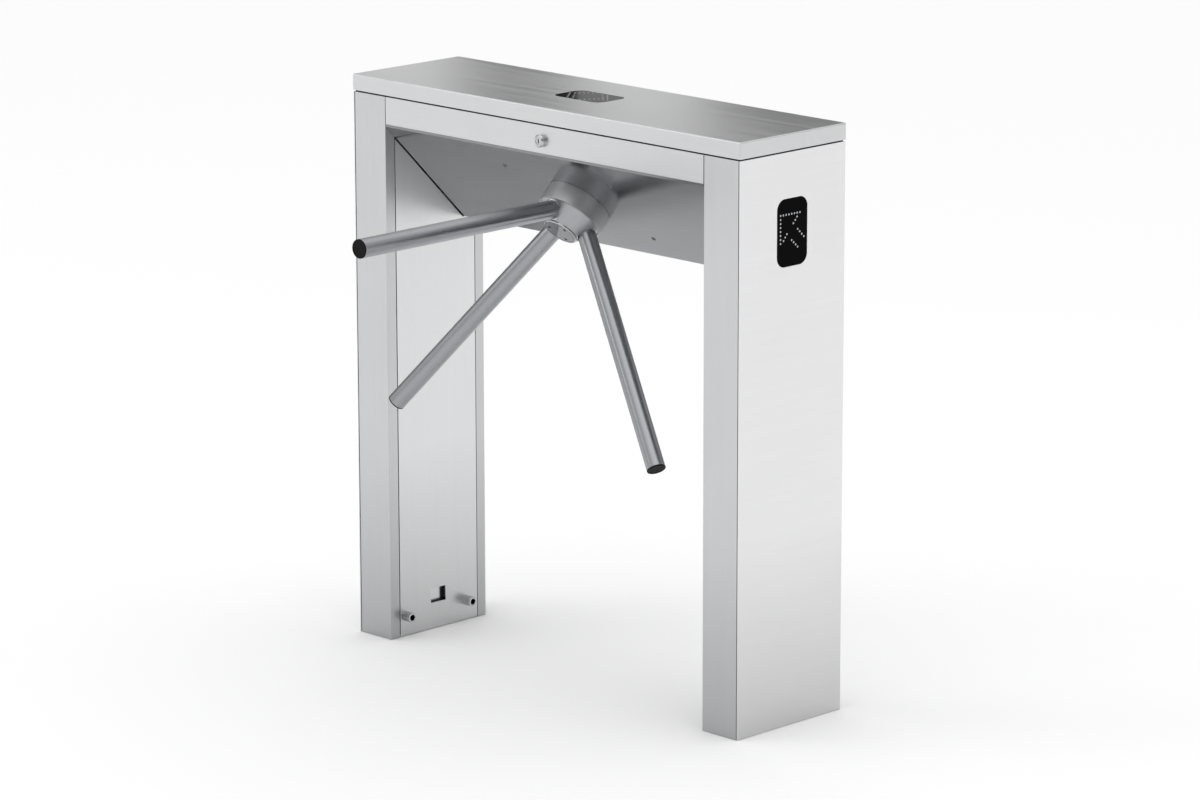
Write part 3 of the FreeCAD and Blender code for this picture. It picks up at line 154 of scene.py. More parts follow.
@dataclass(frozen=True)
class Finish:
    """A named material: a subclass lays out the signals that drive its colour, roughness and relief."""

    name: str
    dark: str = "88898D"
    light: str = "B4B5B8"
    roughness: tuple[float, float] = (0.22, 0.42)
    metallic: float = 1.0
    # Set for a plastic only; a metal keeps the shader's own values.
    ior: Optional[float] = None
    specular: Optional[float] = None
    depth_mm: float = 0.05
    relief_strength: float = 0.10

    def material(self) -> bpy.types.Material:
        """Build the material, or give back the one already built under this name.

        Returns:
            The finished material.
        """
        known = bpy.data.materials.get(self.name)
        if known is not None and known.get("dressed"):
            return known
        made = bpy.data.materials.new(self.name)
        made.name = self.name
        made.use_nodes = True
        made["dressed"] = True
        tree = made.node_tree
        tree.nodes.clear()
        shader = add_node(tree, "ShaderNodeBsdfPrincipled")
        add_node(tree, "ShaderNodeOutputMaterial", {"Surface": shader.outputs[0]})
        tone, gloss, height = self.signals(tree)
        tree.links.new(self.colour(tree, tone), shader.inputs["Base Color"])
        low, high = self.roughness
        if gloss is None:
            shader.inputs["Roughness"].default_value = low
        else:
            dulling = add_node(tree, "ShaderNodeMapRange", {"Value": gloss, "To Min": low, "To Max": high})
            tree.links.new(dulling.outputs[0], shader.inputs["Roughness"])
        bump = add_node(tree, "ShaderNodeBump", {"Height": height, "Distance": self.depth_mm * MM,
                                                 "Strength": self.relief_strength})
        tree.links.new(bump.outputs[0], shader.inputs["Normal"])
        for socket, value in (("Metallic", self.metallic), ("IOR", self.ior), ("Specular IOR Level", self.specular)):
            if value is not None:
                shader.inputs[socket].default_value = value
        return made

    def signals(self, tree: bpy.types.NodeTree) -> Signals:
        """Lay out this finish's patterns; each subclass has its own.

        Args:
            tree: The material's node tree.

        Returns:
            Share of the light colour, share of the higher roughness or None for an even one, and height.
        """
        raise NotImplementedError

    def colour(self, tree: bpy.types.NodeTree, tone: bpy.types.NodeSocket) -> bpy.types.NodeSocket:
        """Mix the dark and the light colour.

        Args:
            tree: The material's node tree.
            tone: Share of the light colour.

        Returns:
            The colour socket.
        """
        return add_node(tree, "ShaderNodeMix", {0: tone, 6: linear(self.dark), 7: linear(self.light)},
                        data_type="RGBA").outputs[2]

    def place(self, tree: bpy.types.NodeTree, scale: Sequence[float] = (1, 1, 1),
              turn: Sequence[float] = (0, 0, 0), shift: Sequence[float] = (0, 0, 0)) -> bpy.types.NodeSocket:
        """Object coordinates through a mapping.

        Args:
            tree: The material's node tree.
            scale: Stretch of the coordinates on each axis.
            turn: Euler angles in radians.
            shift: Offset in metres, after the turn.

        Returns:
            The vector socket.
        """
        source = add_node(tree, "ShaderNodeTexCoord")
        turned = add_node(tree, "ShaderNodeMapping", {"Vector": source.outputs["Object"], "Location": shift,
                                                      "Rotation": turn})
        return add_node(tree, "ShaderNodeMapping", {"Vector": turned.outputs[0], "Scale": scale}).outputs[0]


@dataclass(frozen=True)
class BrushedStainless(Finish):
    """AISI 304 sheet brushed with a belt: fine parallel scratches blur reflections across the grain."""

    grain: Grain = Grain.LENGTHWISE
    dark: str = "BDBEC0"
    light: str = "D3D4D5"
    roughness: tuple[float, float] = (0.27, 0.40)
    depth_mm: float = 0.25
    # A belt scratch is about 0.05 mm wide; it is drawn 1 mm wide so that it shows, in bands 14 mm wide.
    scratch_mm: float = 1.0
    scratch_length_mm: float = 160.0
    band_mm: float = 14.0
    # Clouds left by rolling and handling.
    cloud_mm: float = 142.857
    cloud_share: float = 0.45
    # Share of the colour lost at the floor, drawn in to stand for the shaded floor that the sheet mirrors.
    foot_shade: float = 0.0
    foot_height: float = 0.34

    def signals(self, tree: bpy.types.NodeTree) -> Signals:
        """Scratches along the grain drive tone, gloss and relief, over soft clouds.

        Args:
            tree: The material's node tree.

        Returns:
            Signals of tone, gloss and height.
        """
        across, along = cells(self.scratch_mm), cells(self.scratch_length_mm)
        scale = [along if axis else across for axis in self.grain.value]
        scratches = add_node(tree, "ShaderNodeTexNoise", {"Vector": self.place(tree, scale), "Scale": 1.0,
                                                          "Detail": 3.0, "Roughness": 0.65})
        wide = [along * 0.5 if axis else cells(self.band_mm) for axis in self.grain.value]
        bands = add_node(tree, "ShaderNodeTexNoise", {"Vector": self.place(tree, wide), "Scale": 1.0, "Detail": 2.0})
        clouds = add_node(tree, "ShaderNodeTexNoise", {"Vector": self.place(tree), "Scale": cells(self.cloud_mm),
                                                       "Detail": 4.0})
        line = add_node(tree, "ShaderNodeMapRange", {"Value": scratches.outputs[0]})
        mixed = add_node(tree, "ShaderNodeMath", {0: line.outputs[0], 1: bands.outputs[0]}, operation="MULTIPLY")
        lifted = add_node(tree, "ShaderNodeMath", {0: mixed.outputs[0], 1: 2.0}, operation="MULTIPLY",
                          use_clamp=True)
        blended = add_node(tree, "ShaderNodeMix", {0: self.cloud_share, 2: lifted.outputs[0], 3: clouds.outputs[0]},
                           data_type="FLOAT")
        return blended.outputs[0], lifted.outputs[0], line.outputs[0]

    def colour(self, tree: bpy.types.NodeTree, tone: bpy.types.NodeSocket) -> bpy.types.NodeSocket:
        """Mix the two colours, darker towards the floor.

        Args:
            tree: The material's node tree.
            tone: Share of the light colour.

        Returns:
            The colour socket.
        """
        rise = add_node(tree, "ShaderNodeSeparateXYZ", {0: self.place(tree)})
        shade = add_node(tree, "ShaderNodeMapRange", {"Value": rise.outputs["Z"], "From Min": 0.0,
                                                      "From Max": self.foot_height, "To Min": 1 - self.foot_shade,
                                                      "To Max": 1.0})
        return add_node(tree, "ShaderNodeVectorMath", {0: super().colour(tree, tone), 1: shade.outputs[0]},
                        operation="MULTIPLY").outputs[0]


@dataclass(frozen=True)
class MillStainless(Finish):
    """Cold-rolled 2B sheet with a light polish: a smooth face that mirrors softly, with faint orange peel."""

    # Painted shade: darker than bare stainless usually is, standing in for shade on the underside, which this room
    # lights more than the real one does.
    dark: str = "808184"
    light: str = "949597"
    roughness: tuple[float, float] = (0.17, 0.25)
    depth_mm: float = 0.08
    relief_strength: float = 0.12
    # Pits are too fine to show; they are drawn 1.1 mm across.
    pit_mm: float = 1.11111
    wave_mm: tuple[float, float] = (166.667, 33.3333)

    def signals(self, tree: bpy.types.NodeTree) -> Signals:
        """Fine pits over broad rolling waves.

        Args:
            tree: The material's node tree.

        Returns:
            Signals of tone, gloss and height.
        """
        pits = add_node(tree, "ShaderNodeTexNoise", {"Vector": self.place(tree), "Scale": cells(self.pit_mm),
                                                     "Detail": 2.0})
        long, short = (cells(size) for size in self.wave_mm)
        waves = add_node(tree, "ShaderNodeTexNoise", {"Vector": self.place(tree, (long, short, short)), "Scale": 1.0,
                                                      "Detail": 2.0})
        blended = add_node(tree, "ShaderNodeMix", {0: 0.5, 2: pits.outputs[0], 3: waves.outputs[0]},
                           data_type="FLOAT")
        return blended.outputs[0], blended.outputs[0], pits.outputs[0]


@dataclass(frozen=True)
class LinishedTube(Finish):
    """Stainless tube drawn along a polishing belt: fine scratches run its whole length."""

    # Turns the part's axes onto the tube's own, whose Z runs along it.
    turn: tuple[float, float, float] = (0.0, 0.0, 0.0)
    # Painted shade: darker than bare stainless, standing in for the dark surroundings that the arms mirror.
    dark: str = "94969A"
    light: str = "A8A9AC"
    roughness: tuple[float, float] = (0.25, 0.31)
    depth_mm: float = 0.06
    relief_strength: float = 0.06
    # Real scratches are 0.1 mm apart; they are drawn 0.8 mm apart so that they show.
    scratch_mm: float = 0.8
    scratch_length_mm: float = 40.0
    patch_mm: tuple[float, float] = (33.3333, 71.4286)
    patch_share: float = 0.30

    def signals(self, tree: bpy.types.NodeTree) -> Signals:
        """Scratches along the tube's own axis, over soft patches from handling.

        Args:
            tree: The material's node tree.

        Returns:
            Signals of tone, gloss and height.
        """
        across, along = cells(self.scratch_mm), cells(self.scratch_length_mm)
        fine = self.place(tree, (across, across, along), self.turn)
        scratches = add_node(tree, "ShaderNodeTexNoise", {"Vector": fine, "Scale": 1.0, "Detail": 3.0,
                                                          "Roughness": 0.7})
        across, along = (cells(size) for size in self.patch_mm)
        broad = self.place(tree, (across, across, along), self.turn)
        patches = add_node(tree, "ShaderNodeTexNoise", {"Vector": broad, "Scale": 1.0, "Detail": 3.0})
        blended = add_node(tree, "ShaderNodeMix", {0: self.patch_share, 2: scratches.outputs[0],
                                                   3: patches.outputs[0]}, data_type="FLOAT")
        return blended.outputs[0], blended.outputs[0], scratches.outputs[0]


@dataclass(frozen=True)
class BlastedAlloy(Finish):
    """Cast aluminium blasted with glass beads: an even satin of tiny dimples."""

    dark: str = "919295"
    light: str = "A9AAAC"
    roughness: tuple[float, float] = (0.36, 0.50)
    depth_mm: float = 0.10
    relief_strength: float = 0.25
    # Beads of 0.2 mm leave dimples too fine to show; they are drawn 0.9 mm across.
    dimple_mm: float = 0.9
    patch_mm: float = 16.6667

    def signals(self, tree: bpy.types.NodeTree) -> Signals:
        """Dimples and slow tone shifts of the casting.

        Args:
            tree: The material's node tree.

        Returns:
            Signals of tone, gloss and height.
        """
        where = self.place(tree)
        dimples = add_node(tree, "ShaderNodeTexVoronoi", {"Vector": where, "Scale": cells(self.dimple_mm)})
        tone = add_node(tree, "ShaderNodeTexNoise", {"Vector": where, "Scale": cells(self.patch_mm), "Detail": 5.0})
        return tone.outputs[0], tone.outputs[0], dimples.outputs[0]


@dataclass(frozen=True)
class PolishedSteel(Finish):
    """Steel buffed to a mirror: near-clean reflections with hairline swirls."""

    dark: str = "CFD0D2"
    light: str = "E4E5E6"
    roughness: tuple[float, float] = (0.06, 0.14)
    depth_mm: float = 0.03
    relief_strength: float = 0.06
    hairline_mm: float = 2.5
    hairline_length_mm: float = 11.1111

    def signals(self, tree: bpy.types.NodeTree) -> Signals:
        """Hairlines vary tone, gloss and height a little.

        Args:
            tree: The material's node tree.

        Returns:
            Signals of tone, gloss and height.
        """
        across, along = cells(self.hairline_mm), cells(self.hairline_length_mm)
        swirl = add_node(tree, "ShaderNodeTexNoise", {"Vector": self.place(tree, (across, along, across)),
                                                      "Scale": 1.0, "Detail": 4.0, "Distortion": 0.6})
        return (swirl.outputs[0],) * 3


@dataclass(frozen=True)
class TurnedSteel(Finish):
    """Steel cut on a lathe or hobbing machine: rings about the axis it was turned on."""

    shift: tuple[float, float, float] = (0.0, 0.0, 0.0)
    turn: tuple[float, float, float] = (0.0, 0.0, 0.0)
    relief_strength: float = 0.15
    ring_mm: float = 1.5
    oil_mm: float = 22.2222

    def signals(self, tree: bpy.types.NodeTree) -> Signals:
        """Tool rings with an oily unevenness.

        Args:
            tree: The material's node tree.

        Returns:
            Signals of tone, gloss and height.
        """
        where = self.place(tree, (1, 1, 1), self.turn, self.shift)
        # A wave of scale one repeats about every 0.3 units.
        rings = add_node(tree, "ShaderNodeTexWave", {"Vector": where, "Scale": 0.3 * cells(self.ring_mm),
                                                     "Distortion": 0.4, "Detail": 1.0},
                         wave_type="RINGS", rings_direction="Z")
        oil = add_node(tree, "ShaderNodeTexNoise", {"Vector": where, "Scale": cells(self.oil_mm), "Detail": 4.0})
        blended = add_node(tree, "ShaderNodeMix", {0: 0.6, 2: rings.outputs[1], 3: oil.outputs[0]},
                           data_type="FLOAT")
        return blended.outputs[0], oil.outputs[0], rings.outputs[1]


@dataclass(frozen=True)
class ZincPlate(Finish):
    """Mild steel with clear-passivated zinc: bluish, with faint straw patches and fine crystals."""

    dark: str = "AEB5BC"
    light: str = "CFCDC2"
    roughness: tuple[float, float] = (0.28, 0.44)
    depth_mm: float = 0.03
    patch_mm: float = 35.7143
    # Crystals are too fine to show; they are drawn 1.5 mm across.
    crystal_mm: float = 1.53846

    def signals(self, tree: bpy.types.NodeTree) -> Signals:
        """Patches of passivation over fine crystals.

        Args:
            tree: The material's node tree.

        Returns:
            Signals of tone, gloss and height.
        """
        where = self.place(tree)
        patch = add_node(tree, "ShaderNodeTexNoise", {"Vector": where, "Scale": cells(self.patch_mm), "Detail": 5.0,
                                                      "Distortion": 0.8})
        crystal = add_node(tree, "ShaderNodeTexVoronoi", {"Vector": where, "Scale": cells(self.crystal_mm)})
        return patch.outputs[0], crystal.outputs[0], crystal.outputs[0]


@dataclass(frozen=True)
class MouldedPolymer(Finish):
    """Injection-moulded plastic or rubber: a spark-eroded grain with slightly shinier high spots."""

    dark: str = "060607"
    light: str = "0D0D0E"
    roughness: tuple[float, float] = (0.42, 0.58)
    metallic: float = 0.0
    ior: Optional[float] = 1.50
    specular: Optional[float] = 0.12
    depth_mm: float = 0.06
    relief_strength: float = 0.30
    # A spark-eroded texture is 0.1 mm; it is drawn 0.7 mm so that it shows.
    grain_mm: float = 0.7
    flow_mm: float = 12.5

    def signals(self, tree: bpy.types.NodeTree) -> Signals:
        """Eroded grain and faint flow marks.

        Args:
            tree: The material's node tree.

        Returns:
            Signals of tone, gloss and height.
        """
        where = self.place(tree)
        grain = add_node(tree, "ShaderNodeTexNoise", {"Vector": where, "Scale": cells(self.grain_mm), "Detail": 2.0})
        flow = add_node(tree, "ShaderNodeTexNoise", {"Vector": where, "Scale": cells(self.flow_mm), "Detail": 2.0})
        return flow.outputs[0], grain.outputs[0], grain.outputs[0]


@dataclass(frozen=True)
class SmokedAcrylic(Finish):
    """Cast acrylic sheet dyed black: wet-looking gloss with a trace of wipe marks."""

    dark: str = "020203"
    light: str = "040404"
    roughness: tuple[float, float] = (0.05, 0.13)
    metallic: float = 0.0
    ior: Optional[float] = 1.49
    specular: Optional[float] = 0.03
    depth_mm: float = 0.02
    relief_strength: float = 0.05
    wipe_mm: tuple[float, float, float] = (33.3333, 33.3333, 11.1111)

    def signals(self, tree: bpy.types.NodeTree) -> Signals:
        """Wipe marks, which show in the gloss.

        Args:
            tree: The material's node tree.

        Returns:
            Signals of tone, gloss and height.
        """
        wipe = add_node(tree, "ShaderNodeTexNoise", {"Vector": self.place(tree, [cells(v) for v in self.wipe_mm]),
                                                     "Scale": 1.0, "Detail": 3.0})
        return (wipe.outputs[0],) * 3


@dataclass(frozen=True)
class LampEpoxy(Finish):
    """Diffusing epoxy of an unlit lamp: milky white with tiny bubbles."""

    dark: str = "A6A8AA"
    light: str = "C6C8CA"
    roughness: tuple[float, float] = (0.22, 0.34)
    metallic: float = 0.0
    ior: Optional[float] = 1.53
    depth_mm: float = 0.02
    # Bubbles are too fine to show; they are drawn 1.4 mm across.
    bubble_mm: float = 1.42857

    def signals(self, tree: bpy.types.NodeTree) -> Signals:
        """Milky mottling under a low gloss.

        Args:
            tree: The material's node tree.

        Returns:
            Signals of tone, gloss and height.
        """
        milk = add_node(tree, "ShaderNodeTexNoise", {"Vector": self.place(tree), "Scale": cells(self.bubble_mm),
                                                     "Detail": 2.0})
        return (milk.outputs[0],) * 3


@dataclass(frozen=True)
class SolderMask(Finish):
    """Glass-fibre board under green solder mask: raised copper tracks show through as lighter lines."""

    dark: str = "14482A"
    light: str = "2C7A48"
    roughness: tuple[float, float] = (0.25, 0.38)
    metallic: float = 0.0
    ior: Optional[float] = 1.55
    depth_mm: float = 0.04
    relief_strength: float = 0.30
    track_mm: float = 4.0
    weave_mm: float = 1.11111

    def signals(self, tree: bpy.types.NodeTree) -> Signals:
        """Tracks as the edges of cells, with the weave of the laminate.

        Args:
            tree: The material's node tree.

        Returns:
            Signals of tone, gloss and height.
        """
        where = self.place(tree)
        tracks = add_node(tree, "ShaderNodeTexVoronoi", {"Vector": where, "Scale": cells(self.track_mm),
                                                         "Randomness": 0.35}, distance="MANHATTAN", feature="F1")
        edge = add_node(tree, "ShaderNodeMapRange", {"Value": tracks.outputs[0], "From Min": 0.35, "From Max": 0.55})
        weave = add_node(tree, "ShaderNodeTexNoise", {"Vector": where, "Scale": cells(self.weave_mm), "Detail": 1.0})
        return edge.outputs[0], weave.outputs[0], edge.outputs[0]


@dataclass(frozen=True)
class StudioPaint(Finish):
    """Matt emulsion on a board: pale, with roller stipple."""

    dark: str = "FBFBFB"
    light: str = "FEFEFE"
    roughness: tuple[float, float] = (0.7, 0.7)
    metallic: float = 0.0
    specular: Optional[float] = 0.2
    depth_mm: float = 0.02
    relief_strength: float = 0.05
    stipple_mm: float = 2.0

    def signals(self, tree: bpy.types.NodeTree) -> Signals:
        """Roller stipple, with one roughness all over.

        Args:
            tree: The material's node tree.

        Returns:
            Signals of tone, gloss and height.
        """
        stipple = add_node(tree, "ShaderNodeTexNoise", {"Vector": self.place(tree), "Scale": cells(self.stipple_mm),
                                                        "Detail": 1.0})
        return stipple.outputs[0], None, stipple.outputs[0]


# ---------------------------------------------------------------- geometry helpers

@dataclass(frozen=True)
class Axis:
    """A line in space with a frame on it: local Z runs along the line."""

    origin: Vector
    along: Vector

    def matrix(self) -> Matrix:
        """Local to world matrix, local X as near to the part's +X as the line allows.

        Returns:
            The four by four matrix.
        """
        z = self.along.normalized()
        guide = Vector((1, 0, 0)) if abs(z.x) < 0.9 else Vector((0, 0, 1))
        y = z.cross(guide).normalized()
        x = y.cross(z)
        turned = Matrix((x, y, z)).transposed()
        return Matrix.Translation(self.origin) @ turned.to_4x4()

    def into(self) -> tuple[tuple[float, float, float], tuple[float, float, float]]:
        """Shift and turn of a mapping that brings world coordinates onto this frame.

        Returns:
            Location and Euler rotation for the mapping node.
        """
        inverse = self.matrix().inverted()
        return tuple(inverse.translation), tuple(inverse.to_euler())


def joint_axis(frame: dict, name: str) -> Axis:
    """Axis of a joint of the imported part.

    Args:
        name: The joint's name.

    Returns:
        The joint's line.
    """
    joint = next(j for j in frame["joints"] if j["name"] == name)
    return Axis(Vector(joint["pos_m"]), Vector(joint["axis"]))


def finish_mesh(bm: bmesh.types.BMesh, name: str, finish: Finish, body: str, nodes: Sequence[str] = (),
                place: Optional[Matrix] = None, sharp_deg: float = 32.0,
                second: Optional[Finish] = None) -> bpy.types.Object:
    """Turn a bmesh into a named piece that rides on a body.

    Args:
        bm: The mesh; it is freed.
        name: The piece's name.
        finish: Its finish.
        body: Body it moves with.
        nodes: CAD nodes that it stands for.
        place: Transform applied to the mesh.
        sharp_deg: Edges that turn more than this stay sharp.
        second: Finish of the faces whose material number is one.

    Returns:
        The piece.
    """
    if place is not None:
        bmesh.ops.transform(bm, matrix=place, verts=bm.verts)
    mesh = bpy.data.meshes.new(name)
    bm.to_mesh(mesh)
    bm.free()
    mesh.shade_smooth()
    mesh.set_sharp_from_angle(angle=math.radians(sharp_deg))
    piece = bpy.data.objects.new(name, mesh)
    bpy.context.scene.collection.objects.link(piece)
    mesh.materials.append(finish.material())
    if second is not None:
        mesh.materials.append(second.material())
    normals = piece.modifiers.new("area_weighted_normals", "WEIGHTED_NORMAL")
    normals.mode, normals.weight, normals.keep_sharp = "FACE_AREA", 50, True
    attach(piece, body)
    if nodes:
        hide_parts(*nodes)
    log.info("%s: %d faces on %s", name, len(mesh.polygons), body)
    return piece


def node_copy(node: str) -> bmesh.types.BMesh:
    """Merged copy of a CAD node's mesh, its flat faces joined up.

    Args:
        node: The node's name.

    Returns:
        A new bmesh.
    """
    bm = bmesh.new()
    bm.from_mesh(bpy.data.objects[node].data)
    bmesh.ops.remove_doubles(bm, verts=bm.verts, dist=1e-6)
    bmesh.ops.dissolve_limit(bm, angle_limit=math.radians(1.0), verts=bm.verts, edges=bm.edges)
    return bm


def soften(bm: bmesh.types.BMesh, radius_mm: float, segments: int = 2, angle_deg: float = 40.0) -> None:
    """Round the sharp edges of a mesh.

    Args:
        bm: The mesh.
        radius_mm: Width of the rounding.
        segments: Steps across it.
        angle_deg: Edges that turn more than this are rounded.
    """
    edges = [e for e in bm.edges if e.is_manifold and e.calc_face_angle(0.0) > math.radians(angle_deg)]
    bmesh.ops.bevel(bm, geom=edges, offset=radius_mm * MM, offset_type="OFFSET", affect="EDGES", segments=segments,
                    profile=0.5, material=-1, clamp_overlap=True)


def lathe(profile: Sequence[tuple[float, float]], steps: int = 64) -> bmesh.types.BMesh:
    """Spin a profile about Z into a closed solid.

    Args:
        profile: Radius and height points in millimetres, in order; a radius of zero lies on the axis.
        steps: Steps round the axis.

    Returns:
        The new bmesh.
    """
    bm = bmesh.new()
    points = [bm.verts.new((r * MM, 0.0, h * MM)) for r, h in profile]
    edges = [bm.edges.new(pair) for pair in zip(points, points[1:])]
    if profile[0][0] > 0 and profile[-1][0] > 0:
        edges.append(bm.edges.new((points[-1], points[0])))
    bmesh.ops.spin(bm, geom=points + edges, cent=(0, 0, 0), axis=(0, 0, 1), angle=2 * math.pi, steps=steps,
                   use_merge=True, use_duplicate=False)
    bmesh.ops.remove_doubles(bm, verts=bm.verts, dist=1e-7)
    bmesh.ops.recalc_face_normals(bm, faces=bm.faces)
    return bm


def round_corner(profile: Sequence[tuple[float, float, float]], steps: int = 4) -> list[tuple[float, float]]:
    """Round the corners of a profile.

    Args:
        profile: Radius, height and corner radius of each point, in millimetres.
        steps: Steps in each rounded corner.

    Returns:
        Radius and height points.
    """
    rounded: list[tuple[float, float]] = []
    count = len(profile)
    for i, (r, h, corner) in enumerate(profile):
        if corner <= 0 or i in (0, count - 1):
            rounded.append((r, h))
            continue
        here = Vector((r, h))
        before = (Vector(profile[i - 1][:2]) - here).normalized()
        after = (Vector(profile[i + 1][:2]) - here).normalized()
        for k in range(steps + 1):
            t = k / steps
            point = here + before * corner * (1 - t) ** 2 + after * corner * t ** 2
            rounded.append((point.x, point.y))
    return rounded


def make_hexagonal(bm: bmesh.types.BMesh, radius_mm: float, low_mm: float) -> None:
    """Press a round socket into a hexagonal one.

    Args:
        bm: A lathed screw about Z whose socket wall has this radius.
        radius_mm: Radius of the socket, which becomes the distance across corners / 2.
        low_mm: Lowest height of the socket wall.
    """
    for vert in bm.verts:
        radius = vert.co.xy.length
        if abs(radius - radius_mm * MM) < 2e-5 and vert.co.z > (low_mm - 0.01) * MM:
            turn = math.atan2(vert.co.y, vert.co.x) % math.radians(60)
            scale = math.cos(math.radians(30)) / math.cos(turn - math.radians(30))
            vert.co.x *= scale
            vert.co.y *= scale


def solids(node: str) -> list[list[Vector]]:
    """Points of each separate solid of a CAD node.

    Args:
        node: The node's name.

    Returns:
        One list of points for each solid.
    """
    bm = bmesh.new()
    bm.from_mesh(bpy.data.objects[node].data)
    bmesh.ops.remove_doubles(bm, verts=bm.verts, dist=1e-6)
    found, seen = [], set()
    for start in bm.verts:
        if start in seen:
            continue
        seen.add(start)
        stack, group = [start], []
        while stack:
            vert = stack.pop()
            group.append(vert.co.copy())
            for edge in vert.link_edges:
                other = edge.other_vert(vert)
                if other not in seen:
                    seen.add(other)
                    stack.append(other)
        found.append(group)
    bm.free()
    return found


def middle(points: Iterable[Vector], along: Vector) -> tuple[Vector, float, float]:
    """Centre line of a round solid.

    Args:
        points: Its points.
        along: Direction of its axis.

    Returns:
        A point on the centre line at height zero, and the lowest and highest height along the axis.
    """
    frame = Axis(Vector((0, 0, 0)), along).matrix()
    local = [frame.inverted() @ p for p in points]
    x = (min(p.x for p in local) + max(p.x for p in local)) / 2
    y = (min(p.y for p in local) + max(p.y for p in local)) / 2
    heights = [p.z for p in local]
    return frame @ Vector((x, y, 0)), min(heights), max(heights)


# ---------------------------------------------------------------- sub-assemblies

@dataclass
class Cabinet:
    """Folded stainless body: legs, end panels, apron, inclined plate, covers and lid."""

    fold_mm: float = 0.7
    cut_mm: float = 0.25
    lid_corner_mm: float = 0.5

    def build(self) -> None:
        """Round the cut and folded edges of every visible sheet and dress it."""
        # Painted light and shade: these copies of brushed 304 differ in tone by how brightly each face shows in this
        # light; the end panels are lightest, the inner covers next, the lid and apron middling and the legs darkest.
        upright = BrushedStainless("brushed_304_upright", grain=Grain.UPRIGHT, dark="C3C4C6", light="D1D2D3",
                                   foot_shade=0.26)
        inner = BrushedStainless("brushed_304_cover", grain=Grain.UPRIGHT, dark="DADBDC", light="E6E6E7",
                                 foot_shade=0.24)
        lengthwise = BrushedStainless("brushed_304_lengthwise", grain=Grain.LENGTHWISE, dark="CDCED0",
                                      light="D9DADB")
        crosswise = BrushedStainless("brushed_304_crosswise", grain=Grain.CROSSWISE, dark="E2E2E3", light="ECECED",
                                     foot_shade=0.26)
        for node in ("leg_shell_right", "leg_shell_left"):
            self.sheet(node, upright, self.fold_mm)
        for node in ("end_panel_right", "end_panel_left"):
            self.sheet(node, crosswise, self.cut_mm)
        for node in ("inner_cover_right", "inner_cover_left"):
            self.sheet(node, inner, self.cut_mm)
        for node in ("front_apron", "rear_cover"):
            self.sheet(node, lengthwise, self.cut_mm)
        self.trays()
        self.sheet("belly_plate", MillStainless("mill_304_belly"), self.cut_mm)
        self.sheet("inclined_plate", MillStainless("mill_304_plate", roughness=(0.12, 0.18)), self.cut_mm)
        self.sheet("lid", BrushedStainless("brushed_304_lid", grain=Grain.LENGTHWISE, dark="CDCECF", light="DADADB"),
                   self.lid_corner_mm, body="lid")

    def trays(self) -> None:
        """Trays behind the cable windows: a bright back, and walls in near-black as painted shade for the shadow in
        the recess.
        """
        bm = node_copy("cable_window_blanks")
        bm.normal_update()
        for face in bm.faces:
            # Side walls take the second, near-black finish: painted shade for the shadow in the recess.
            face.material_index = int(abs(face.normal.x) < 0.5)
        back = MillStainless("mill_304_tray", dark="CBCCCD", light="DADADB")
        finish_mesh(bm, "cable_window_trays", back, "cabinet", ["cable_window_blanks"],
                    second=MouldedPolymer("painted_shade_tray_walls"))

    def sheet(self, node: str, finish: Finish, radius_mm: float, body: str = "cabinet") -> bpy.types.Object:
        """One sheet piece with softened edges in place of its CAD node.

        Args:
            node: The CAD node.
            finish: Its finish.
            radius_mm: Rounding of its edges.
            body: Body it moves with.

        Returns:
            The piece.
        """
        bm = node_copy(node)
        soften(bm, radius_mm)
        return finish_mesh(bm, f"{node}_sheet", finish, body, [node], sharp_deg=50.0)


@dataclass
class ScrewHead:
    """Button-head hexagon socket screw, drawn about Z from its seat; sizes in millimetres."""

    radius: float = 4.5
    height: float = 1.6
    socket: float = 1.7
    socket_depth: float = 1.1
    shank: float = 2.5
    shank_length: float = 18.0

    def mesh(self) -> bmesh.types.BMesh:
        """Domed head, hexagon socket and shank.

        Returns:
            The new bmesh.
        """
        floor = self.height - self.socket_depth
        dome = [(self.radius * math.cos(math.radians(a)), self.height * math.sin(math.radians(a)))
                for a in range(8, 76, 11)]
        profile = [(0, floor), (self.socket, floor), (self.socket, self.height * 0.985)]
        profile += [(self.socket * 1.12, self.height)] + dome[::-1] + [(self.radius, 0), (self.shank, 0)]
        profile += [(self.shank, -self.shank_length + 0.6), (self.shank - 0.6, -self.shank_length),
                    (0, -self.shank_length)]
        bm = lathe(profile, steps=24)
        make_hexagonal(bm, self.socket, floor)
        return bm


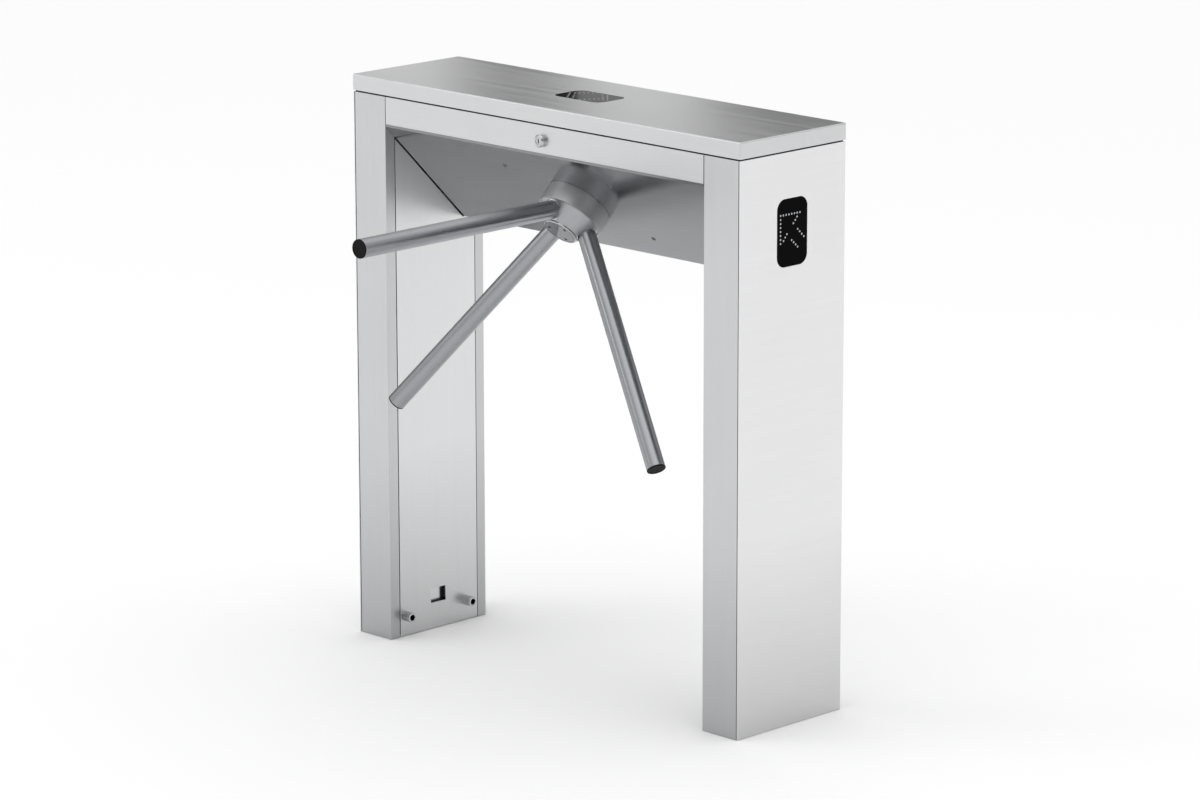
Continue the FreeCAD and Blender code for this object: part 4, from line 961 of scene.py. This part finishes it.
@dataclass
class Fasteners:
    """Outside screws: button heads on the plate and a socket sleeve at each cover's foot; sizes in millimetres."""

    head: ScrewHead = field(default_factory=ScrewHead)
    sleeve_lip: float = 1.1
    socket: float = 5.5
    socket_depth: float = 11.0
    thread: float = 4.9

    def build(self, rotor: Axis) -> None:
        """Build every outside fastener.

        Args:
            rotor: The rotor's axis, outwards from the plate.
        """
        self.plate_screws(rotor)
        self.sleeves()

    def plate_screws(self, rotor: Axis) -> None:
        """Button heads that hold the plate to its pillars.

        Args:
            rotor: The rotor's axis.
        """
        bm = bmesh.new()
        for group in solids("plate_screws"):
            spot, _, high = middle(group, rotor.along)
            single = self.head.mesh()
            seat = Axis(spot + rotor.along * (high - self.head.height * MM), rotor.along)
            bmesh.ops.transform(single, matrix=seat.matrix(), verts=single.verts)
            merge_into(bm, single)
        finish_mesh(bm, "plate_button_screws", PolishedSteel("bright_a2_screw", dark="5A5B5E", light="828386"),
                    "cabinet", ["plate_screws"], sharp_deg=40.0)

    def sleeves(self) -> None:
        """Sleeve bolts with a bright turned lip and a deep hexagon socket, whose inside is coloured near-black as
        painted shade.
        """
        bm = bmesh.new()
        for group in solids("cover_sleeve_bolts"):
            side = 1.0 if sum(p.x for p in group) > 0 else -1.0
            spot, low, high = middle(group, Vector((-side, 0, 0)))
            outer = max((p - spot).yz.length for p in group) / MM
            length = (high - low) / MM
            rim = [p.x * -side for p in group if (p - spot).yz.length / MM > outer - 0.5]
            base = min(rim)
            head = (max(rim) - base) / MM
            profile = [(0, head - self.socket_depth), (self.socket, head - self.socket_depth),
                       (self.socket, head - 0.5), (self.socket + 0.5, head)]
            profile += round_corner([(self.socket + 0.5, head, 0), (outer, head, self.sleeve_lip),
                                     (outer, head - 3.0, 0)])[1:]
            profile += [(outer - 0.25, head - 3.4), (outer, head - 3.8), (outer, 0), (self.thread, 0),
                        (self.thread, head - length), (0, head - length)]
            single = lathe(profile, steps=48)
            make_hexagonal(single, self.socket, head - self.socket_depth)
            # Socket walls and floor take the second, near-black finish: painted shade for the deep socket.
            for face in single.faces:
                centre = face.calc_center_median()
                face.material_index = int(centre.xy.length < self.socket * MM
                                          and head - self.socket_depth - 0.1 < centre.z / MM < head - 0.2)
            place = Axis(spot + Vector((-side, 0, 0)) * base, Vector((-side, 0, 0)))
            bmesh.ops.transform(single, matrix=place.matrix(), verts=single.verts)
            merge_into(bm, single)
        bright = PolishedSteel("bright_turned_sleeve", roughness=(0.12, 0.24), dark="A9AAAD", light="CFD0D2")
        # Painted shade: near-black for the shadow inside the socket.
        black = ZincPlate("painted_shade_socket", dark="0A0A0B", light="141415", roughness=(0.40, 0.55))
        finish_mesh(bm, "cover_sleeves", bright, "cabinet", ["cover_sleeve_bolts"], sharp_deg=40.0,
                    second=black)


def merge_into(target: bmesh.types.BMesh, source: bmesh.types.BMesh) -> None:
    """Add one bmesh to another.

    Args:
        target: The mesh that grows.
        source: The mesh that is added; it is freed.
    """
    passing = bpy.data.meshes.new("passing")
    source.to_mesh(passing)
    source.free()
    target.from_mesh(passing)
    bpy.data.meshes.remove(passing)


@dataclass
class Rotor:
    """Hub with its collar, three arms with their plugs, and the mirror cap; sizes in millimetres."""

    arm_numbers: tuple[int, ...] = (1, 2, 3)
    wall: float = 2.0
    tip_round: float = 0.7
    plug_length: float = 25.0
    plug_flange: float = 2.0
    plug_fit: float = 0.02
    plug_round: float = 0.9
    plug_dish: float = 0.5
    gate_radius: float = 2.0
    gate_depth: float = 0.3

    def build(self) -> None:
        """Build the outside of the rotor."""
        self.hub()
        for number in self.arm_numbers:
            self.arm(number)
        self.plugs()
        self.cap()

    def hub(self) -> None:
        """Cast hub and the fixed collar behind it, with softened rims."""
        blasted = BlastedAlloy("bead_blasted_alloy", dark="9D9EA1", light="B0B1B4", roughness=(0.30, 0.42))
        bm = node_copy("rotor_hub")
        soften(bm, 0.35, segments=2, angle_deg=35.0)
        finish_mesh(bm, "hub_casting", blasted, "rotor", ["rotor_hub"], sharp_deg=30.0)
        bm = node_copy("collar")
        soften(bm, 0.5, segments=3, angle_deg=50.0)
        lighter = BlastedAlloy("bead_blasted_collar", dark="B4B5B8", light="C6C7C9", roughness=(0.36, 0.48),
                               depth_mm=0.05)
        finish_mesh(bm, "hub_collar", lighter, "cabinet", ["collar"], sharp_deg=30.0)

    def ends(self, node: str) -> tuple[Vector, Vector]:
        """Centres of the two ends of a straight tube.

        Args:
            node: The tube's CAD node.

        Returns:
            The end at the hub and the end at the tip.
        """
        points = [v.co.copy() for v in bpy.data.objects[node].data.vertices]
        centre = sum(points, Vector()) / len(points)
        rough = max(points, key=lambda p: (p - centre).length) - centre
        near = [p for p in points if (p - centre).dot(rough) < 0]
        far = [p for p in points if (p - centre).dot(rough) >= 0]
        pair = [box_middle(near), box_middle(far)]
        for _ in range(2):
            line = (pair[1] - pair[0]).normalized()
            pair = [middle(group, line)[0] for group in (near, far)]
            pair = [spot + line * group[0].dot(line) for spot, group in zip(pair, (near, far))]
        return (pair[0], pair[1]) if pair[0].z > pair[1].z or pair[0].y > pair[1].y else (pair[1], pair[0])

    def arm(self, number: int) -> None:
        """One arm tube with a rolled rim at its tip.

        Args:
            number: The arm's number, which its CAD node is named by.
        """
        node = f"arm_{number}"
        root, tip = self.ends(node)
        line = Axis(root, tip - root)
        length = (tip - root).length / MM
        radius = self.tube_radius(node, line)
        inner = radius - self.wall
        profile = [(inner, 0, 0), (radius, 0, 0), (radius, length, self.tip_round), (inner, length, 0)]
        outline = round_corner(profile)
        long_side = [(radius, length * k / 12) for k in range(1, 12)]
        bm = lathe(outline[:2] + long_side + outline[2:], steps=72)
        _, turn = line.into()
        finish_mesh(bm, f"{node}_tube", LinishedTube(f"linished_tube_{number}", turn=turn), "rotor",
                    [node], place=line.matrix(), sharp_deg=40.0)

    def tube_radius(self, node: str, line: Axis) -> float:
        """Outer radius of a tube in millimetres.

        Args:
            node: The tube's CAD node.
            line: Its centre line.

        Returns:
            The radius.
        """
        inverse = line.matrix().inverted()
        return max((inverse @ v.co).xy.length for v in bpy.data.objects[node].data.vertices) / MM

    def plugs(self) -> None:
        """Flat end plugs with a rounded rim, a shallow dish and a gate mark."""
        bm = bmesh.new()
        top, dish, low = self.plug_flange, self.plug_flange - self.plug_dish, -self.plug_length
        for number in self.arm_numbers:
            root, tip = self.ends(f"arm_{number}")
            line = Axis(tip, tip - root)
            radius = self.tube_radius(f"arm_{number}", line)
            core = radius - self.wall - self.plug_fit
            outline = [(0, low, 0), (core - 0.98, low, 0), (core, low + 1.0, 0), (core, 0, 0),
                       (radius, 0.0, 0), (radius, top, self.plug_round), (radius - 3.0, top, 0.6),
                       (radius - 3.6, dish, 0.4), (self.gate_radius + 0.4, dish, 0),
                       (self.gate_radius, dish - self.gate_depth, 0), (0, dish - self.gate_depth, 0)]
            single = lathe(round_corner(outline), steps=56)
            bmesh.ops.transform(single, matrix=line.matrix(), verts=single.verts)
            merge_into(bm, single)
        finish_mesh(bm, "arm_plugs_moulded", MouldedPolymer("moulded_black_polyethylene"), "rotor",
                    ["arm_end_plugs"], sharp_deg=40.0)

    def cap(self) -> None:
        """Mirror cap with its groove."""
        bm = node_copy("hub_cap")
        soften(bm, 0.2, segments=2, angle_deg=30.0)
        mirror = PolishedSteel("mirror_polished_cap", dark="A2A3A6", light="B8B9BB", roughness=(0.03, 0.08))
        finish_mesh(bm, "hub_mirror_cap", mirror, "rotor", ["hub_cap"], sharp_deg=28.0)


def box_middle(points: Sequence[Vector]) -> Vector:
    """Middle of the box round some points.

    Args:
        points: The points.

    Returns:
        The middle.
    """
    low = Vector([min(p[i] for p in points) for i in range(3)])
    high = Vector([max(p[i] for p in points) for i in range(3)])
    return (low + high) / 2


@dataclass
class LampGrid:
    """Rows of small unlit lamps behind a window, drawn just proud of it; sizes in millimetres."""

    lamp_radius: float = 1.7
    lamp_height: float = 0.25

    def dots(self, places: Sequence[tuple[float, float]], to_world: Callable[[float, float], Matrix],
             name: str, body: str) -> None:
        """One domed dot at each place.

        Args:
            places: Positions on the window in millimetres.
            to_world: Turns a position into the transform of a dot whose +Z faces outwards.
            name: The piece's name.
            body: Body it moves with.
        """
        bm = bmesh.new()
        r, h = self.lamp_radius, self.lamp_height
        for u, v in places:
            single = lathe([(0, h), (r * 0.55, h * 0.85), (r * 0.9, h * 0.4), (r, 0), (r, -0.2), (0, -0.2)], steps=16)
            bmesh.ops.transform(single, matrix=to_world(u, v), verts=single.verts)
            merge_into(bm, single)
        finish_mesh(bm, name, LampEpoxy("diffusing_lamp_epoxy"), body, sharp_deg=60.0)


@dataclass
class Displays:
    """Smoked windows with their lamps: one in each end panel and a wider one in the lid; sizes in millimetres."""

    grid: LampGrid = field(default_factory=LampGrid)
    across: float = 6.55
    down: float = 6.6
    lift: float = 1.0
    edge_mm: float = 0.35

    def build(self) -> None:
        """Dress the windows and lay out their lamps."""
        for node, body in (("end_windows", "cabinet"), ("top_window", "lid")):
            bm = node_copy(node)
            soften(bm, self.edge_mm, segments=2, angle_deg=60.0)
            finish_mesh(bm, f"{node}_acrylic", SmokedAcrylic("smoked_cast_acrylic"), body, [node],
                        sharp_deg=35.0)
        self.end_lamps()
        self.top_lamps()

    def line(self, start: tuple[float, float], end: tuple[float, float], count: int) -> list[tuple[float, float]]:
        """Evenly spaced places on a line.

        Args:
            start: First place.
            end: Last place.
            count: Number of places.

        Returns:
            The places.
        """
        return [(start[0] + (end[0] - start[0]) * k / (count - 1), start[1] + (end[1] - start[1]) * k / (count - 1))
                for k in range(count)]

    def end_lamps(self) -> None:
        """An arrow on each end: two bars that meet at a corner, and a broken shaft towards them."""
        low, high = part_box("end_windows")
        middle_z = (low.z + high.z) / 2 / MM + self.lift
        middle_y = (low.y + high.y) / 2 / MM
        corner = (-27.7, 29.1)
        places = self.line(corner, (corner[0] + 7 * self.across, corner[1]), 8)
        places += self.line(corner, (corner[0], corner[1] - 7 * self.down), 8)[1:]
        places += self.line((11.3, 22.6), (2.8, 12.8), 3)
        places += self.line((-20.6, -13.2), (-12.5, -3.0), 3)
        places += self.line((13.0, 2.2), (27.8, -12.2), 4)
        places += self.line((-1.2, -14.4), (13.2, -27.4), 4)
        face = high.x
        for side in (1, -1):
            def to_world(u: float, v: float, side: int = side) -> Matrix:
                """Transform of one lamp on this end."""
                spot = Vector((side * face, (middle_y + u) * MM, (middle_z + v) * MM))
                return Axis(spot, Vector((side, 0, 0))).matrix()
            self.grid.dots(places, to_world, f"end_lamps_{'right' if side > 0 else 'left'}", "cabinet")

    def top_lamps(self) -> None:
        """Two short rows and four slanted rows on the lid window."""
        low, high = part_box("top_window")
        centre = (low + high) / 2
        places = self.line((-35.5, 11.0), (-14.7, 33.3), 5)
        places += self.line((28.5, -7.0), (8.5, -31.8), 5)
        for start, end in (((-49.5, 3.0), (-23.5, -29.0)), ((-43.5, 9.0), (-9.5, -30.0)),
                           ((4.5, 26.0), (40.5, -8.0)), ((14.5, 28.0), (46.5, -4.0))):
            places += self.line(start, end, 5)

        def to_world(u: float, v: float) -> Matrix:
            """Transform of one lamp on the lid."""
            return Axis(Vector((centre.x + u * MM, centre.y + v * MM, high.z)), Vector((0, 0, 1))).matrix()
        self.grid.dots(places, to_world, "top_lamps", "lid")


@dataclass
class Lock:
    """Cam lock in the apron: bright chamfered head and a keyed plug."""

    head_edge_mm: float = 0.3
    plug_edge_mm: float = 0.15

    def build(self) -> None:
        """Round the edges of the head and the plug, and dress both."""
        chrome = PolishedSteel("chrome_plated_lock", dark="A8A9AC", light="CFD0D2")
        for node, body, radius, name in (("lock_barrel", "cabinet", self.head_edge_mm, "lock_head"),
                                         ("lock_plug", "lock", self.plug_edge_mm, "lock_key_plug")):
            bm = node_copy(node)
            soften(bm, radius, segments=2, angle_deg=35.0)
            finish_mesh(bm, name, chrome, body, [node], sharp_deg=30.0)


@dataclass
class Inside:
    """Pieces that keep their CAD shape: mechanism, electronics, fixings and seals."""

    def build(self, frame: dict, rotor: Axis) -> None:
        """Give every remaining CAD node its finish.

        Args:
            rotor: The rotor's axis.
        """
        shift, turn = rotor.into()
        crank_shift, crank_turn = joint_axis(frame, "crank_spin").into()
        turned = TurnedSteel("turned_steel", shift=shift, turn=turn)
        finishes = {
            "satin_stainless": BrushedStainless("brushed_304_inner", grain=Grain.UPRIGHT),
            "lid_stainless": BrushedStainless("brushed_304_bracket", grain=Grain.LENGTHWISE),
            "plate_stainless": MillStainless("mill_304_belly"),
            "hub_alloy": BlastedAlloy("bead_blasted_seat"),
            "polished_steel": PolishedSteel("polished_washer_steel"),
            "black_plug": MouldedPolymer("moulded_black_polyethylene"),
            "display_black": SmokedAcrylic("smoked_cast_acrylic"),
            "circuit_board": SolderMask("green_solder_mask"),
            "zinc_steel": ZincPlate("zinc_plated_steel"),
            "black_steel": ZincPlate("black_oxide_steel", dark="17181A", light="26272A", roughness=(0.30, 0.48)),
            "cast_alloy": BlastedAlloy("sand_cast_alloy", dark="85868A", light="A2A3A6", dimple_mm=1.6,
                                       roughness=(0.45, 0.62), depth_mm=0.25),
            "gear_steel": turned,
            "brass": TurnedSteel("turned_brass", shift=shift, turn=turn, dark="A88943", light="CFB26A"),
            "seal_rubber": MouldedPolymer("moulded_epdm_rubber", dark="101011", light="1C1C1D",
                                          roughness=(0.60, 0.80), ior=1.52),
            "spring_steel": TurnedSteel("drawn_spring_wire", shift=crank_shift, turn=crank_turn, dark="77787B",
                                        light="A6A7AA", ring_mm=2.0),
        }
        special = {"crank_gear": TurnedSteel("turned_crank_steel", shift=crank_shift, turn=crank_turn)}
        for name, node in frame["nodes"].items():
            slot = node.material_slots[0].material.name if node.material_slots else "satin_stainless"
            finish = special.get(name) or finishes.get(slot.split(".")[0]) or finishes["satin_stainless"]
            node.material_slots[0].material = finish.material()


# ---------------------------------------------------------------- studio

@dataclass
class Studio:
    """Pale floor, room light, soft boxes and the camera; positions in metres.

    The room is darker in a sector behind the object and two strips stand in front of that sector, so that the
    lid's brushed top shows dark and bright bands from the front.
    """

    azimuth_deg: float = -45.078
    pitch_deg: float = 13.571
    roll_deg: float = -0.098
    distance: float = 8.559
    target: tuple[float, float, float] = (0.01606, 0.0, 0.48008)
    lens_mm: float = 150.98
    sensor_mm: float = 36.0
    floor_half: float = 30.0
    floor_drop: float = 0.0005
    room_strength: float = 1.05
    # Height of the direction, from the horizon at zero to overhead at one, against the room's brightness.
    room_stops: tuple[tuple[float, float], ...] = ((0.0, 0.42), (0.30, 0.36), (0.50, 0.52), (0.75, 1.10),
                                                   (1.0, 1.60))
    strip_offsets: tuple[float, float] = (-0.46, 0.11)
    strip_away: float = 3.0
    strip_height: float = 1.75
    strip_size: tuple[float, float] = (0.30, 1.5)
    strip_watts: float = 1.05

    def build(self) -> None:
        """Build floor, lights, world and camera."""
        self.floor()
        self.world()
        self.lights()
        self.camera()

    def floor(self) -> None:
        """Large pale floor."""
        bm = bmesh.new()
        bmesh.ops.create_grid(bm, x_segments=2, y_segments=2, size=self.floor_half)
        mesh = bpy.data.meshes.new("studio_floor")
        bm.to_mesh(mesh)
        bm.free()
        floor = bpy.data.objects.new("studio_floor", mesh)
        floor.location.z = -self.floor_drop
        bpy.context.scene.collection.objects.link(floor)
        mesh.materials.append(StudioPaint("pale_studio_paint").material())

    def world(self) -> None:
        """Room light, seen from the camera: bright overhead and to the right, a window at the left, dark behind."""
        world = bpy.data.worlds.new("studio_room")
        world.use_nodes = True
        bpy.context.scene.world = world
        tree = world.node_tree
        tree.nodes.clear()
        where = add_node(tree, "ShaderNodeTexCoord")
        split = add_node(tree, "ShaderNodeSeparateXYZ", {0: where.outputs["Generated"]})
        ramp = add_node(tree, "ShaderNodeValToRGB", {0: split.outputs["Z"]})
        set_stops(ramp, [(height, grey(value)) for height, value in self.room_stops])
        side = add_node(tree, "ShaderNodeMath", {0: split.outputs["X"], 1: split.outputs["Y"]})
        wall = add_node(tree, "ShaderNodeMapRange", {"Value": side.outputs[0], "From Min": -0.20, "From Max": 0.35,
                                                     "To Min": 0.62, "To Max": 1.55})
        window = add_node(tree, "ShaderNodeMapRange", {"Value": side.outputs[0], "From Min": -1.25,
                                                       "From Max": -0.50, "To Min": 2.8, "To Max": 1.0})
        lit_wall = add_node(tree, "ShaderNodeMath", {0: wall.outputs[0], 1: window.outputs[0]}, operation="MULTIPLY")
        wall_tone = add_node(tree, "ShaderNodeVectorMath", {0: ramp.outputs[0], 1: lit_wall.outputs[0]},
                             operation="MULTIPLY")
        above = add_node(tree, "ShaderNodeMapRange", {"Value": split.outputs["Z"], "From Min": 0.30,
                                                      "From Max": 0.55})
        room = add_node(tree, "ShaderNodeMix", {0: above.outputs[0], 6: wall_tone.outputs[0], 7: ramp.outputs[0]},
                        data_type="RGBA")
        rear = add_node(tree, "ShaderNodeMath", {0: split.outputs["Y"], 1: split.outputs["X"]}, operation="SUBTRACT")
        curtain = add_node(tree, "ShaderNodeMapRange", {"Value": rear.outputs[0], "From Min": 0.75, "From Max": 1.20,
                                                        "To Min": 1.0, "To Max": 0.22},
                           interpolation_type="SMOOTHSTEP")
        low_curtain = add_node(tree, "ShaderNodeMix", {0: above.outputs[0], 2: curtain.outputs[0], 3: 1.0},
                               data_type="FLOAT")
        shaded = add_node(tree, "ShaderNodeVectorMath", {0: room.outputs[2], 1: low_curtain.outputs[0]},
                          operation="MULTIPLY")
        glow = add_node(tree, "ShaderNodeBackground", {"Color": shaded.outputs[0], "Strength": self.room_strength})
        add_node(tree, "ShaderNodeOutputWorld", {"Surface": glow.outputs[0]})

    def lamp(self, name: str, place: Sequence[float], size: tuple[float, float], power: float,
             aim: Sequence[float] = (0.0, 0.0, 0.5)) -> None:
        """One soft box.

        Args:
            name: Its name.
            place: Where it stands.
            size: Width and height.
            power: Power in watts.
            aim: Point it faces.
        """
        light = bpy.data.lights.new(name, "AREA")
        light.shape, light.size, light.size_y, light.energy = "RECTANGLE", size[0], size[1], power
        lamp = bpy.data.objects.new(name, light)
        lamp.location = place
        lamp.rotation_euler = (Vector(aim) - Vector(place)).to_track_quat("-Z", "Y").to_euler()
        lamp.visible_camera = False
        bpy.context.scene.collection.objects.link(lamp)

    def lights(self) -> None:
        """Seen from the camera, a soft box at the right, one at the left and two strips behind."""
        self.lamp("key_box", place=(4.5, 1.5, 2.6), size=(2.6, 2.2), power=8.0)
        self.lamp("front_box", place=(-4.0, -4.2, 3.4), size=(2.4, 1.6), power=26.0)
        # To the camera's right, and away from it, both level.
        across, away = Vector((0.706, 0.708, 0.0)), Vector((-0.708, 0.706, 0.0))
        for name, offset in zip(("rear_strip_left", "rear_strip_right"), self.strip_offsets):
            aim = across * offset + Vector((0.0, 0.0, self.strip_height))
            self.lamp(name, across * offset + away * self.strip_away + Vector((0.0, 0.0, self.strip_height)),
                      self.strip_size, self.strip_watts, aim)

    def camera(self) -> None:
        """Long lens at the viewing angle, with no shift."""
        az, pitch, roll = (math.radians(v) for v in (self.azimuth_deg, self.pitch_deg, self.roll_deg))
        forward = Vector((math.sin(az) * math.cos(pitch), math.cos(az) * math.cos(pitch), -math.sin(pitch)))
        right = Vector((math.cos(az), -math.sin(az), 0.0))
        up = right.cross(forward)
        turned_right = right * math.cos(roll) + up * math.sin(roll)
        turned_up = up * math.cos(roll) - right * math.sin(roll)
        data = bpy.data.cameras.new("studio_camera")
        data.lens, data.sensor_width, data.clip_end = self.lens_mm, self.sensor_mm, 100.0
        camera = bpy.data.objects.new("studio_camera", data)
        rows = Matrix((turned_right, turned_up, -forward)).transposed()
        camera.matrix_world = Matrix.Translation(Vector(self.target) - forward * self.distance) @ rows.to_4x4()
        bpy.context.scene.collection.objects.link(camera)
        bpy.context.scene.camera = camera


def main() -> None:
    """Build the whole scene in order."""
    logging.basicConfig(level=logging.INFO, format="%(name)s: %(message)s")
    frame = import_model()
    bpy.context.scene.view_settings.view_transform = "Standard"
    rotor = joint_axis(frame, "rotor_spin")
    Studio().build()
    Inside().build(frame, rotor)
    Cabinet().build()
    Fasteners().build(rotor)
    Rotor().build()
    Displays().build()
    Lock().build()


if __name__ == "__main__":
    main()
